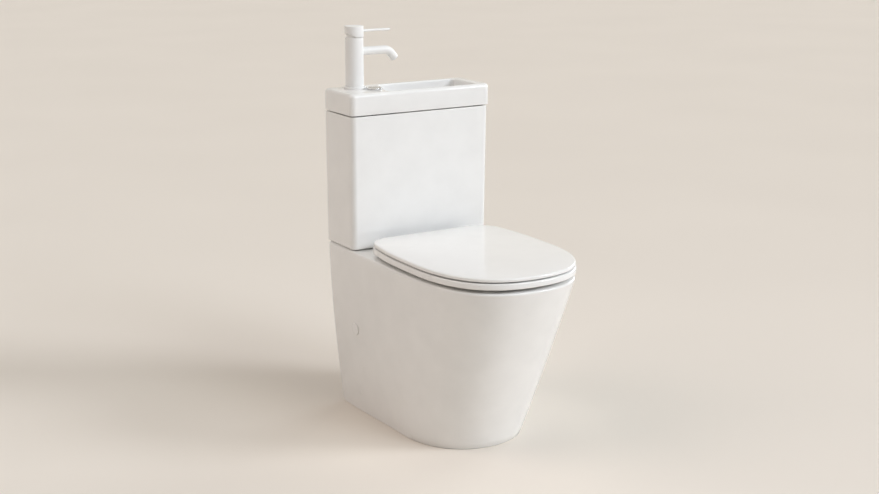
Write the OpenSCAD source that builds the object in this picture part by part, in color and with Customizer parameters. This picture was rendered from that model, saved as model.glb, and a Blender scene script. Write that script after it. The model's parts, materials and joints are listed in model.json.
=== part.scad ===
// Toilet with a hand basin on its cistern: a skirted pan, a close-coupled cistern, a slim seat and
// lid, a single-lever basin tap and a dual flush button. Millimetres. +X is to the right of someone
// who faces its front, the front points to -Y, and the floor is z = 0.

/* [Pan] */
// Depth of the pan, from the wall to the front of its rim
depth = 620; // [600:1:650]
// Height of the rim and of the deck that carries the cistern
deck_z = 408; // [396:1:425]
// Half width of the rim where its sides run straight
rim_half_w = 184; // [180:0.5:192]
// Distance from the wall at which the rim starts to round to its nose
rim_side_d = 330; // [300:5:350]
// Radius of the rim's edge
rim_round = 6; // [4:0.5:10]
// Half width of the base at the wall
base_back_half_w = 150; // [140:1:165]
// Half width of the base where its sides turn to the front
base_half_w = 142.5; // [130:0.5:150]
// Distance from the wall of that turn
base_side_d = 280; // [250:5:300]
// Distance from the wall to the front of the base
base_front_d = 447; // [420:1:480]
// How far the sides bulge between base and rim at the wall, as a share of their slope
side_bulge = 0.66; // [0:0.02:0.8]
// The same at the nose
nose_bulge = 0.04; // [0:0.02:0.3]
// Radius of the pan's two back corners
pan_corner = 10; // [9:0.5:14]
// Thickness of the skirt and of the bowl
pan_wall = 10; // [8:0.5:12]
// Thickness of the deck and rim
deck_t = 14; // [12:0.5:18]

/* [Bowl and trap] */
// Half width of the bowl's opening
bowl_half_w = 126; // [115:1:130]
// Distance from the wall to the back of the opening
bowl_back_d = 248; // [240:1:260]
// Distance from the wall to the front of the opening
bowl_front_d = 570; // [550:1:575]
// Distance from the wall to the widest part of the opening
bowl_wide_d = 430; // [410:5:440]
// Height of the sump's lowest point
sump_z = 88; // [70:1:100]
// Radius of the sump
sump_r = 28; // [27:0.5:32]
// Distance from the wall to the sump
sump_d = 372; // [360:1:385]
// Radius of the water passage in the trap
trap_r = 26; // [24:0.5:27]
// Distance from the wall to the trap's crown
crown_d = 250; // [235:1:260]
// Height of the passage's centre at the crown
crown_z = 220; // [205:1:235]
// Outer radius of the waste outlet
outlet_r = 51; // [50:0.5:55]
// Height of the waste outlet's centre above the floor
outlet_z = 180; // [175:1:190]
// Distance from the wall to the outlet's end
outlet_end_d = 60; // [50:1:75]
// Length of the outlet's straight part
outlet_len = 90; // [75:1:100]
// Half width of the flush duct inside
duct_half_w = 30; // [26:1:31]
// Height of the flush duct inside
duct_h = 28; // [22:1:34]

/* [Cistern] */
// Gap between the pan's deck and the foot of the cistern
cistern_gap = 2.4; // [2:0.1:4]
// Height of the cistern's top edge
cistern_top_z = 722; // [700:1:740]
// Half width of the cistern at its top
cistern_half_w = 184.5; // [182:0.5:186]
// Half width of the cistern at its foot
cistern_foot_half_w = 183; // [178:0.5:185]
// Depth of the cistern at its top
cistern_depth = 133; // [131:0.5:134]
// Depth of the cistern at its foot
cistern_foot_depth = 128; // [124:0.5:132]
// Radius of the two front corners
cistern_corner = 14; // [12:0.5:20]
// Radius of the two back corners
cistern_back_corner = 4; // [3:0.5:6]
// Thickness of the cistern's walls
cistern_wall = 9; // [7:0.5:10]
// Thickness of the cistern's floor
cistern_floor_t = 12; // [10:0.5:16]
// Height of the room under the cistern's floor
cistern_recess_h = 26; // [24:0.5:32]
// Distance from the wall to the flush valve, the filling valve and the two bolts
valve_d = 64; // [62:0.5:66]
// Half of the distance between the two cistern bolts
bolt_half_span = 75; // [70:0.5:82]

/* [Basin lid] */
// Half width of the basin lid
lid_half_w = 187; // [186.5:0.5:190]
// Depth of the basin lid
lid_depth = 135.5; // [135:0.5:138]
// Height of the basin lid, from its foot to its top
lid_h = 49.7; // [44:0.1:60]
// Dark gap between the cistern's edge and the foot of the lid's skirt
shadow_gap = 3; // [2:0.1:5]
// Radius of the lid's top edge
lid_round = 9; // [6:0.5:10]
// Radius of the lid's front corners
lid_corner = 14; // [11:0.5:18]
// Radius of the lid's back corners
lid_back_corner = 10; // [10:0.5:14]
// Thickness of the lid's skirt
lid_wall = 9; // [7:0.5:10]
// Thickness of the lid's deck
lid_deck_t = 12; // [10:0.5:14]
// Place of the basin's left edge at its back, left of the middle
basin_left_back = 54; // [48:1:58]
// Place of the basin's left edge at its front, left of the middle
basin_left_front = 82; // [70:1:86]
// Place of the basin's right edge, right of the middle
basin_right = 154; // [145:1:160]
// Distance from the wall to the basin's back edge
basin_back_d = 18; // [16:0.5:24]
// Distance from the wall to the basin's front edge
basin_front_d = 122; // [114:0.5:123]
// Depth of the basin
basin_depth = 75; // [60:1:80]
// Length of the curved ramp at the basin's left end
basin_ramp = 48; // [30:1:55]
// How far the basin's front wall leans inwards
basin_lean = 11; // [8.5:0.5:12]
// Thickness of the basin's walls and floor
basin_wall = 8; // [6:0.5:8]

/* [Seat] */
// Half width of the seat at its back
seat_back_half_w = 170.5; // [166:0.5:176]
// Half width of the seat at its widest
seat_half_w = 179.6; // [174:0.2:182]
// Distance from the wall to the seat's widest point
seat_wide_d = 389.5; // [360:0.5:400]
// Distance from the wall to the seat's back edge
seat_back_d = 158.4; // [156:0.2:162]
// Gap between the lid's nose and the pan's nose
seat_nose_gap = 2.8; // [2:0.1:8]
// Radius of the seat's back corners
seat_corner = 62; // [54:0.5:66]
// Angle at which the seat's sides start to widen in front of its back corners
seat_slant = 9.4; // [3:0.1:12]
// How far the ring stands out beyond the lid
ring_step = 1.4; // [0.5:0.1:2.5]
// Gap between the rim and the ring
ring_gap = 8.2; // [7.5:0.1:10]
// Thickness of the ring
ring_t = 14; // [11:0.1:15]
// Gap between the ring and the lid
seat_gap = 3.1; // [2.5:0.1:4]
// Height of the lid's side wall
seat_lid_side = 5.2; // [4:0.1:7]
// Height of the lid's crown above its side wall
seat_crown = 7.5; // [6.5:0.1:10]
// Half width of the ring's hole
hole_half_w = 110; // [100:1:116]
// Distance from the wall to the back of the ring's hole
hole_back_d = 262; // [250:1:275]
// Distance from the wall to the front of the ring's hole
hole_front_d = 546; // [530:1:552]
// Half of the distance between the two hinges
hinge_half_span = 77.5; // [70:0.5:85]
// Distance from the wall to the hinge axis
hinge_d = 172; // [171:0.5:174]
// Radius of the hinge knuckles
knuckle_r = 7.5; // [7:0.1:7.8]
// Radius of the hinge pins
hinge_pin_r = 3; // [2:0.1:3.5]
// Width of a hinge block
hinge_block_w = 18; // [14:0.5:20]
// Width of a knuckle on the ring or on the lid
knuckle_w = 10; // [7:0.5:11]

/* [Tap] */
// Distance from the middle to the tap, to its left
tap_left = 129; // [125:0.5:135]
// Distance from the wall to the tap
tap_d = 45; // [40:0.5:48]
// Radius of the ring under the tap
tap_ring_r = 26; // [24:0.5:27]
// Height of that ring
tap_ring_h = 5; // [3:0.5:7]
// Radius of the tap's body
tap_r = 21.5; // [20:0.5:23]
// Height of the tap's body above the ring
tap_h = 113.1; // [100:0.1:120]
// Radius of the cap that turns with the lever
cap_r = 22.2; // [21.5:0.1:24]
// Height of the cap
cap_h = 24.6; // [24:0.1:28]
// Gap between the body and the cap
cap_gap = 1.9; // [1.8:0.1:3]
// Angle at which the cap's rear is cut away
cap_cut = 30; // [26:1:42]
// Radius of the spout
spout_r = 9.75; // [8:0.25:10.5]
// Height of the spout above the tap's ring
spout_z = 80.4; // [70:0.1:86]
// Length of the spout's straight part, from the tap's axis
spout_run = 78.5; // [60:0.5:100]
// Radius of the spout's bend
spout_bend = 23; // [15:0.5:30]
// Angle through which the spout bends down
spout_drop = 50; // [35:1:70]
// Length of the spout's end beyond the bend
spout_end = 16; // [12:0.5:25]
// Wall of the spout
spout_wall = 2; // [1.5:0.1:2.5]
// Height of the lever above the cap's foot
lever_z = 12.3; // [12:0.1:14.5]
// Length of the lever, from the tap's axis
lever_len = 94; // [70:1:110]
// Radius of the lever at the cap
lever_r = 3.1; // [2.5:0.1:3.5]
// Radius of the lever at its tip
lever_tip_r = 2.7; // [2:0.1:3]
// Radius of the hole for the tap
tap_hole_r = 17.5; // [16:0.5:18]

/* [Flush button] */
// Distance from the middle to the button, to its left
button_left = 99; // [96:0.5:104]
// Distance from the wall to the button
button_d = 82; // [81:0.5:86]
// Radius of the button's bezel
bezel_r = 19; // [18:0.25:20]
// Height of the bezel above the lid
bezel_h = 4.3; // [3:0.1:6]
// Radius of the two buttons together
button_r = 14.6; // [14:0.1:15]
// Travel of the buttons
button_travel = 5; // [3:0.5:5]

/* [Fixings] */
// Distance from the wall to the access caps
access_d = 114; // [100:1:125]
// Height of the access caps
access_z = 217; // [200:1:230]
// Radius of the access caps
access_r = 15.2; // [12:0.2:18]
// Distance from the wall to the side screws
screw_d = 106; // [95:1:120]
// Height of the side screws
screw_z = 52; // [45:1:60]
// Radius of the side screws' caps
screw_cap_r = 5.5; // [5:0.25:8]
// How far the access caps stand out of the pan
cap_proud = 2.4; // [1:0.1:4]
// The same for the side screws' caps
screw_cap_proud = 1.2; // [0.8:0.1:3]

/* [Clearances] */
// Gap between two pieces that only lie next to each other
gap = 0.3; // [0.25:0.05:0.5]
// Play of a shaft in its bore
run_fit = 0.05; // [0.02:0.01:0.1]
// Play of a piece that is pressed or screwed in
press_fit = 0.02; // [0.01:0.01:0.04]

/* [Hidden] */
$fn = 48;
glaze = [0.93, 0.92, 0.9];
satin = [0.9, 0.9, 0.89];
chromed = [0.72, 0.73, 0.75];
steel = [0.62, 0.63, 0.65];
plastic = [0.84, 0.85, 0.86];
black_rubber = [0.16, 0.16, 0.17];
wall_y = depth / 2;
corner_steps = 4;
side_steps = 5;
nose_steps = 13;
side_pull = 0.4;
seat_pull = [0.64, 0.7];
rim_pull = [0.656, 0.77];
base_pull = [0.62, 0.6];
over = 1;

// Heights of the cistern and its lid
cistern_z = deck_z + cistern_gap;
floor_under_z = cistern_z + cistern_recess_h;
floor_z = floor_under_z + cistern_floor_t;
lid_foot_z = cistern_top_z + shadow_gap;
lid_z = lid_foot_z + lid_h;
lid_under_z = lid_z - lid_deck_t;
basin_z = lid_z - basin_depth;
basin_under_z = basin_z - basin_wall;
tap_z = lid_z + tap_ring_h;
tap_top_z = tap_z + tap_h;
cap_z = tap_top_z + cap_gap;
spout_axis_z = tap_z + spout_z;

// Seat
ring_z = deck_z + ring_gap;
ring_top_z = ring_z + ring_t;
seat_lid_z = ring_top_z + seat_gap;
hinge_z = ring_top_z - 0.2;
seat_front_d = depth - seat_nose_gap;
ring_back_d = hinge_d - 1.5;
lid_recess = 4;
side_buffer_i = corner_steps + 4;
nose_buffer_i = corner_steps + side_steps + 9;
hinge_disc_h = 3;
block_half = hinge_block_w / 2;
knuckle_in = block_half + gap;
knuckle_out = knuckle_in + knuckle_w;
notch_half = knuckle_out + gap;
notch_front_d = hinge_d + knuckle_r + 2.5;

// Cartridge, stem and screw of the tap
cartridge_r = 16.2;
cartridge_h = 34;
dome_r = 18;
dome_hole_r = 12.5;
rotor_r = 14;
stem_r = 4.2;
stem_pin_r = 1.5;
cavity_r = dome_r + 0.8;
socket_start = 16.8;
spout_root = cartridge_r + 2 * gap;
stud_r = 5;

// Flush works
button_bore_r = button_r + gap;
bezel_body_r = button_bore_r + 1.7;
button_hole_r = bezel_body_r + 0.5;
button_t = 4;
button_split = 2;
full_rod_y = -7;
half_rod_y = 8;
button_stem_r = 3;
rod_r = 2.4;
bezel_floor_z = lid_z - 22;
bezel_foot_z = lid_z - 30;
tail_r = 28;
tower_r = 34;
tower_top_z = floor_z + 182;
rocker_z = tower_top_z + 12;
rocker_arm = 33;
rocker_x = -button_left + rocker_arm;
rocker_half_t = 3;
rocker_up = 6;
trip_x = -38;
full_d = button_d - full_rod_y;
half_d = button_d - half_rod_y;
plunger_r = 9;
fill_x = 118;
inlet_r = 10.48;
shank_r = 11;
fill_nut_h = 10;
thread_relief = 2;
fill_top_z = floor_z + 152;
float_z = floor_z + 84;
float_h = 46;
arm_z = fill_top_z + 18;
arm_len = 30;
arm_pivot = 13;
waste_x = 58;
waste_d = (basin_back_d + basin_front_d) / 2 - 2;
waste_r = 15;

function mix(a, b, t) = a + (b - a) * t;
// Place along Y of what is d in front of the wall
function back(d) = wall_y - d;
function bezier(p, t) = pow(1 - t, 3) * p[0] + 3 * pow(1 - t, 2) * t * p[1]
    + 3 * (1 - t) * t * t * p[2] + pow(t, 3) * p[3];

// Right half of an outline, from the middle of its back to its nose, as [x, distance from the wall]
function half_outline(w_back, d_back, corner, slant, w_wide, d_wide, pull, d_nose) = let (
    start = [w_back, d_back + corner],
    wide = [w_wide, d_wide],
    reach = side_pull * (d_wide - start.y),
    side = [start, start + reach * [sin(slant), cos(slant)], wide - [0, reach], wide],
    nose = [wide, wide + [0, pull[0] * (d_nose - d_wide)], [pull[1] * w_wide, d_nose], [0, d_nose]])
    concat(
        [[0, d_back]],
        [for (i = [0:corner_steps]) let (a = -90 + 90 * i / corner_steps)
            [w_back - corner + corner * cos(a), d_back + corner + corner * sin(a)]],
        [for (i = [1:side_steps]) bezier(side, i / side_steps)],
        [for (i = [1:nose_steps]) bezier(nose, i / nose_steps)]);

// The whole outline, counter-clockwise in x and distance from the wall
function whole(half) = concat(half, [for (i = [len(half) - 2:-1:1]) [-half[i].x, half[i].y]]);

// An outline drawn in by t all round
function shrunk(o, t) = let (n = len(o)) [for (i = [0:n - 1])
    let (e = o[(i + 1) % n] - o[(i + n - 1) % n]) o[i] + t * [-e.y, e.x] / norm(e)];

// An outline scaled about a point
function scaled(o, f, centre) = [for (p = o) centre + f * (p - centre)];

// Points of an egg-shaped opening, one towards each point of an outline
function egg(o, w, d_back, d_wide, d_front) = [for (p = o)
    let (v = p - [0, d_wide], reach = v.y < 0 ? d_wide - d_back : d_front - d_wide)
    [0, d_wide] + v / norm([v.x / w, v.y / reach])];

// A rectangle with round corners, from its back left corner round to its front left one
function box_outline(left_back, left_front, right, d_back, d_front, r_back, r_front) = concat(
    arc(right - r_back, d_back + r_back, r_back, -90),
    arc(right - r_front, d_front - r_front, r_front, 0),
    arc(-left_front + r_front, d_front - r_front, r_front, 90),
    arc(-left_back + r_back, d_back + r_back, r_back, 180));
function arc(x, d, r, from) = [for (i = [0:corner_steps]) let (a = from + 90 * i / corner_steps)
    [x + r * cos(a), d + r * sin(a)]];

function level(o, z) = [for (p = o) [p.x, back(p.y), z]];

// A closed solid through levels of equal point counts, from low to high. In a loop, the last level
// joins the first
module loft(levels, loop = false) {
    n = len(levels[0]);
    m = len(levels);
    middle = [for (k = [0, m - 1]) [
        (min([for (p = levels[k]) p.x]) + max([for (p = levels[k]) p.x])) / 2,
        (min([for (p = levels[k]) p.y]) + max([for (p = levels[k]) p.y])) / 2,
        levels[k][0].z]];
    points = concat([for (one = levels) each one], loop ? [] : middle);
    walls = [for (k = [0:(loop ? m - 1 : m - 2)], i = [0:n - 1])
        let (j = (i + 1) % n, a = k * n, b = ((k + 1) % m) * n)
        each [[a + i, a + j, b + j], [a + i, b + j, b + i]]];
    caps = [for (i = [0:n - 1]) let (j = (i + 1) % n, top = (m - 1) * n)
        each [[m * n, j, i], [m * n + 1, top + i, top + j]]];
    polyhedron(points, loop ? walls : concat(walls, caps), convexity = 8);
}

module at(x, d, z) {
    translate([x, back(d), z]) children();
}
module both_sides() {
    children();
    mirror([1, 0, 0]) children();
}
module tube(r, bore, h) {
    difference() {
        cylinder(r = r, h = h);
        translate([0, 0, -over]) cylinder(r = bore, h = h + 2 * over);
    }
}
module hex(across, h) {
    cylinder(r = across / 2 / cos(30), h = h, $fn = 6);
}
// A round bar from one point to another, both as [x, y, z]
module bar(p, q, r) {
    v = q - p;
    translate(p) rotate([0, acos(v.z / norm(v)), atan2(v.y, v.x)]) cylinder(r = r, h = norm(v));
}
module along_x() {
    rotate([0, 90, 0]) children();
}
module along_y() {
    rotate([-90, 0, 0]) children();
}

// ---- Pan ----

// Outline of the pan at height z, drawn in by t
function pan_outline(z, t = 0) = let (
    s = max(0, z) / deck_z,
    edge = t > 0 ? -t : 0,
    low = half_outline(base_back_half_w - t, edge, pan_corner, 1.2, base_half_w - t, base_side_d,
        base_pull, base_front_d - t),
    high = half_outline(rim_half_w - t, edge, pan_corner, 0, rim_half_w - t, rim_side_d,
        rim_pull, depth - t))
    whole([for (i = [0:len(low) - 1])
        let (bulge = mix(side_bulge, nose_bulge, high[i].y / depth))
        mix(low[i], high[i], s + bulge * s * (1 - s))]);

// Half width of the pan's side, d from the wall at height z
function side_x(d, z) = let (o = pan_outline(z))
    lookup(d, [for (i = [1:corner_steps + side_steps]) [o[i].y, o[i].x]]);
function side_lean(d, z) = atan((side_x(d, z + 15) - side_x(d, z - 15)) / 30);
function side_turn(d, z) = atan((side_x(d + 15, z) - side_x(d - 15, z)) / 30);

module pan_skin() {
    loft(concat(
        [for (z = [0:50:deck_z - rim_round - 20]) level(pan_outline(z), z)],
        [for (a = [0:30:90]) level(
            shrunk(pan_outline(deck_z - rim_round * (1 - sin(a))), rim_round * (1 - cos(a)) * 0.98),
            deck_z - rim_round * (1 - sin(a)))]));
}
module pan_hollow() {
    top = deck_z - deck_t;
    loft([for (z = [-over, top * 0.25, top * 0.5, top * 0.75, top]) level(pan_outline(z, pan_wall), z)]);
}
// The bowl's space, or the body around it where t is its wall
module bowl(t) {
    low = sump_z - t;
    loft([for (k = [0, 0.04, 0.12, 0.25, 0.4, 0.6, 0.8, 1])
        let (z = mix(low, deck_z + (t > 0 ? -2 : over), k), u = pow(k, 0.7))
        level([for (i = [0:31]) let (a = 360 * i / 32, w = mix(sump_r, bowl_half_w, u) + t,
            d_back = mix(sump_d - sump_r, bowl_back_d, u) - t,
            d_wide = mix(sump_d, bowl_wide_d, u),
            d_front = mix(sump_d + sump_r, bowl_front_d, u) + t)
            [w * sin(a), d_wide - cos(a) * (cos(a) > 0 ? d_wide - d_back : d_front - d_wide)]], z)]);
}
// The trap's passage, from the sump over its crown to the outlet, with a wall of t
module trap(t) {
    sump = [0, back(sump_d), sump_z + trap_r];
    crown = [0, back(crown_d), crown_z];
    run = [0, back(outlet_end_d + outlet_len), outlet_z + 5];
    bar(sump, crown, trap_r + t);
    translate(crown) sphere(r = trap_r + t);
    bar(crown, run, trap_r + t);
    translate(run) sphere(r = trap_r + t);
}
module pan_solid() {
    difference() {
        pan_skin();
        pan_hollow();
    }
    bowl(pan_wall);
}
module pan() {
    duct_z = deck_z - deck_t - duct_h;
    socket_d = outlet_end_d + outlet_len;
    color(glaze) difference() {
        union() {
            pan_solid();
            trap(pan_wall - 1);
            at(0, outlet_end_d, outlet_z) rotate([90, 0, 0]) cylinder(r = outlet_r, h = outlet_len);
            at(0, socket_d, outlet_z) rotate([90, 0, 0])
                cylinder(r1 = outlet_r, r2 = trap_r + pan_wall, h = 34);
            at(-duct_half_w - 8, bowl_back_d + 14, duct_z - 8)
                cube([2 * duct_half_w + 16, bowl_back_d - 12, duct_h + deck_t]);
        }
        bowl(0);
        trap(0);
        at(0, outlet_end_d - over, outlet_z) rotate([90, 0, 0])
            cylinder(r = outlet_r - 8, h = outlet_len + over);
        at(0, socket_d - 0.5, outlet_z) rotate([90, 0, 0])
            cylinder(r1 = outlet_r - 8, r2 = trap_r, h = 30);
        at(-duct_half_w, bowl_back_d + 30, duct_z)
            cube([2 * duct_half_w, bowl_back_d + 30 - valve_d + duct_half_w, duct_h]);
        at(0, valve_d, duct_z + over) cylinder(r = tail_r + 4, h = duct_h + deck_t);
        for (side = [-1, 1]) {
            at(side * bolt_half_span, valve_d, deck_z - 40) cylinder(r = 5, h = 50);
            at(side * hinge_half_span, hinge_d, deck_z - 40) cylinder(r = 5, h = 50);
            at(side * (side_x(screw_d, screw_z) - 25), screw_d, screw_z) along_x()
                cylinder(r = 4.2, h = 60, center = true);
            at(side * (side_x(access_d, access_z) - 25), access_d, access_z) along_x()
                cylinder(r = access_r - 3, h = 60, center = true);
        }
        at(fill_x, valve_d, deck_z - 30) cylinder(r = 20, h = 40);
    }
}
// A cap that lies on the pan's leaning side, with its stub in the hole below it
module side_cap(d, z, r, stub_r, proud) {
    at(side_x(d, z), d, z) rotate([0, 90 + side_lean(d, z), side_turn(d, z)]) {
        rotate_extrude() polygon([[0, gap], [r, gap], [r, proud * 0.45], [r - 0.5, proud * 0.8],
            [r - 1.6, proud], [0, proud]]);
        translate([0, 0, -7]) cylinder(r = stub_r, h = 7.5);
    }
}
module access_caps() {
    color(glaze) both_sides() side_cap(access_d, access_z, access_r, access_r - 4, cap_proud);
}
module screw_caps() {
    color(glaze) both_sides() difference() {
        side_cap(screw_d, screw_z, screw_cap_r, 3.2, screw_cap_proud);
        at(side_x(screw_d, screw_z) - 20, screw_d, screw_z) along_x() cylinder(r = 5, h = 19);
    }
}
module side_screws() {
    color(steel) both_sides() at(side_x(screw_d, screw_z) - 52, screw_d, screw_z) along_x() {
        cylinder(r = 3, h = 50);
        translate([0, 0, 47]) cylinder(r1 = 3, r2 = 4, h = 3);
    }
}
// Outer face of the blocks on the floor, clear of the skirt
function bracket_x() = side_x(screw_d + 20, 5) - pan_wall - 1.5;
// Plastic blocks on the floor that the side screws hold the pan to
module floor_brackets() {
    block_w = 30;
    color(plastic) both_sides() {
        x = bracket_x();
        difference() {
            union() {
                at(x - block_w, screw_d + 20, 0) cube([block_w, 40, screw_z + 20]);
                at(x - block_w - 26, screw_d + 20, 0) cube([27, 40, 8]);
            }
            at(x - block_w / 2, screw_d, screw_z) along_x()
                cylinder(r = 3 + press_fit, h = block_w + 4, center = true);
            at(x - block_w - 13, screw_d, -over) cylinder(r = 3.5, h = 10);
        }
    }
}

// ---- Cistern ----

function cistern_outline(z, t = 0) = let (s = (z - cistern_z) / (cistern_top_z - cistern_z),
    w = mix(cistern_foot_half_w, cistern_half_w, s) - t)
    box_outline(w, w, w, t, mix(cistern_foot_depth, cistern_depth, s) - t,
        max(1, cistern_back_corner - t / 3), cistern_corner - t / 2);
module cistern_tank() {
    rise = 4;
    color(glaze) difference() {
        loft([level(shrunk(cistern_outline(cistern_z), 1.2), cistern_z),
            level(cistern_outline(cistern_z + rise), cistern_z + rise),
            level(cistern_outline(cistern_top_z - 1.5), cistern_top_z - 1.5),
            level(shrunk(cistern_outline(cistern_top_z), 1.2), cistern_top_z)]);
        loft([for (z = [floor_z, cistern_top_z + over]) level(cistern_outline(z, cistern_wall), z)]);
        loft([for (z = [cistern_z - over, floor_under_z]) level(cistern_outline(z, cistern_wall + 3), z)]);
        at(0, valve_d, floor_under_z - over) cylinder(r = tail_r + 1.5, h = cistern_floor_t + 2 * over);
        at(fill_x, valve_d, floor_under_z - over) cylinder(r = 11.5, h = cistern_floor_t + 2 * over);
        for (side = [-1, 1])
            at(side * bolt_half_span, valve_d, floor_under_z - over)
                cylinder(r = 5, h = cistern_floor_t + 2 * over);
    }
}
module coupling_gasket() {
    color(black_rubber) at(0, valve_d, deck_z) tube(46, tail_r + 1, valve_nut_z() - deck_z);
}
function valve_nut_z() = floor_under_z - 11;
module cistern_bolts() {
    color(steel) for (side = [-1, 1]) at(side * bolt_half_span, valve_d, 0) {
        translate([0, 0, deck_z - deck_t - 22]) cylinder(r = 4, h = floor_z + 4 - deck_z + deck_t + 22);
        translate([0, 0, floor_z + 4]) cylinder(r = 9, h = 3);
    }
}
module bolt_seals() {
    color(black_rubber) for (side = [-1, 1]) at(side * bolt_half_span, valve_d, floor_z)
        tube(12, 4 + press_fit, 4);
}
module wing_nuts() {
    color(plastic) for (side = [-1, 1]) at(side * bolt_half_span, valve_d, deck_z - deck_t - 14)
        difference() {
            union() {
                cylinder(r = 9, h = 14);
                translate([-3, -20, 0]) cube([6, 40, 9]);
            }
            translate([0, 0, -over]) cylinder(r = 4 + press_fit, h = 14 + 2 * over);
        }
}

// ---- Basin lid ----

function lid_outline(t = 0) = box_outline(lid_half_w - t, lid_half_w - t, lid_half_w - t, t,
    lid_depth - t, max(1, lid_back_corner - t), max(2, lid_corner - t));
// The basin's outline at a share k of its depth, grown by t
function basin_outline(k, t) = let (ramp = basin_ramp * pow(k, 1.6), lean = basin_lean * k,
    r = 11 + t)
    box_outline(basin_left_back - ramp + t, basin_left_front - ramp - 18 * k + t,
        basin_right - 6 * k + t, basin_back_d + 3 * k - t, basin_front_d - lean + t, r, r);
module basin(t) {
    low = t > 0 ? basin_under_z : basin_z;
    high = t > 0 ? lid_z - 2 : lid_z + over;
    soft = t > 0 ? 0 : 5;
    loft(concat(
        [level(shrunk(basin_outline(1, t), soft), low), level(basin_outline(0.97, t), low + soft + 0.5)],
        [for (k = [0.8, 0.6, 0.4, 0.2, 0.08]) level(basin_outline(k, t), mix(lid_z, low, k))],
        t > 0 ? [level(basin_outline(0, t), high)]
            : [level(shrunk(basin_outline(0, 0), -1), lid_z - 1),
                level(shrunk(basin_outline(0, 0), -3.4), lid_z + 0.4),
                level(shrunk(basin_outline(0, 0), -3.4), high)]));
}
module basin_lid() {
    seat_t = 5;
    color(glaze) difference() {
        union() {
            difference() {
                union() {
                    loft(concat(
                        [level(shrunk(lid_outline(), 1), lid_foot_z), level(lid_outline(), lid_foot_z + 1.5)],
                        [for (a = [0:30:90]) level(shrunk(lid_outline(), lid_round * 0.98 * (1 - cos(a))),
                            lid_z - lid_round * (1 - sin(a)))]));
                    loft([for (z = [cistern_top_z, lid_foot_z + 4]) level(lid_outline(seat_t), z)]);
                }
                loft([for (z = [cistern_top_z - over, lid_under_z]) level(lid_outline(lid_wall), z)]);
            }
            basin(basin_wall);
        }
        basin(0);
        at(-tap_left, tap_d, lid_under_z - over) cylinder(r = tap_hole_r, h = lid_deck_t + 2 * over);
        at(-button_left, button_d, lid_under_z - over)
            cylinder(r = button_hole_r, h = lid_deck_t + 2 * over);
        at(waste_x, waste_d, basin_under_z - over) cylinder(r = waste_r + 0.5, h = basin_wall + 2 * over);
    }
}
module basin_waste() {
    color(chromed) at(waste_x, waste_d, 0) {
        difference() {
            union() {
                translate([0, 0, basin_z]) cylinder(r = waste_r + 4, h = 2.5);
                translate([0, 0, basin_under_z - 34]) cylinder(r = waste_r, h = 34 + basin_wall + over);
            }
            translate([0, 0, basin_under_z - 35]) cylinder(r = waste_r - 2, h = 35 + basin_wall - 3);
            for (a = [0:60:300]) rotate([0, 0, a])
                translate([7.5, 0, basin_z - 8]) cylinder(r = 2.6, h = 20);
            translate([0, 0, basin_z - 8]) cylinder(r = 2.6, h = 20);
        }
    }
}
module waste_nut() {
    color(plastic) at(waste_x, waste_d, basin_under_z - 9) difference() {
        hex(46, 9);
        translate([0, 0, -over]) cylinder(r = waste_r + press_fit, h = 9 + 2 * over);
    }
}

// ---- Seat ----

function seat_outline() = whole(half_outline(seat_back_half_w, seat_back_d, seat_corner, seat_slant,
    seat_half_w, seat_wide_d, seat_pull, seat_front_d));
function hole_outline(t) = egg(seat_outline(), hole_half_w + t, hole_back_d - t, bowl_wide_d,
    hole_front_d + t);

// Material round the hinge axis that fills from the axis to where the ring or lid starts
module knuckle(x, top, reach) {
    difference() {
        union() {
            at(x, hinge_d, hinge_z) along_x() cylinder(r = knuckle_r, h = knuckle_w);
            at(x, hinge_d + reach, hinge_z - (top > hinge_z ? 0 : knuckle_r * 0.8))
                cube([knuckle_w, top > hinge_z ? 2 * knuckle_r : reach, top > hinge_z ? top - hinge_z
                    : knuckle_r * 0.8]);
        }
        at(x - over, hinge_d, hinge_z) along_x() cylinder(r = hinge_pin_r + run_fit, h = knuckle_w + over);
    }
}
module seat_ring() {
    o = shrunk(seat_outline(), -ring_step);
    soft = 3;
    inner = 7;
    color(satin) {
        difference() {
            loft([
                level(shrunk(o, soft), ring_z), level(shrunk(o, 0.9), ring_z + 0.9),
                level(o, ring_z + soft), level(o, ring_top_z - soft),
                level(shrunk(o, 0.9), ring_top_z - 0.9), level(shrunk(o, soft), ring_top_z),
                level(hole_outline(inner), ring_top_z), level(hole_outline(2), ring_top_z - 2),
                level(hole_outline(0), ring_top_z - inner), level(hole_outline(0), ring_z + soft),
                level(hole_outline(soft), ring_z)], loop = true);
            at(-seat_back_half_w - 10, ring_back_d, ring_z - over)
                cube([2 * seat_back_half_w + 20, 30, ring_t + 2 * over]);
            for (side = [-1, 1])
                at(side * hinge_half_span - notch_half, notch_front_d, ring_z - over)
                    cube([2 * notch_half, notch_front_d - ring_back_d + over, ring_t + 2 * over]);
        }
        both_sides() knuckle(hinge_half_span + knuckle_in, hinge_z, knuckle_r + 3);
        both_sides() at(hinge_half_span + knuckle_out - 0.01, notch_front_d, ring_z + 1)
            cube([gap + 0.5, notch_front_d - ring_back_d, ring_t - 2]);
    }
}
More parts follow.
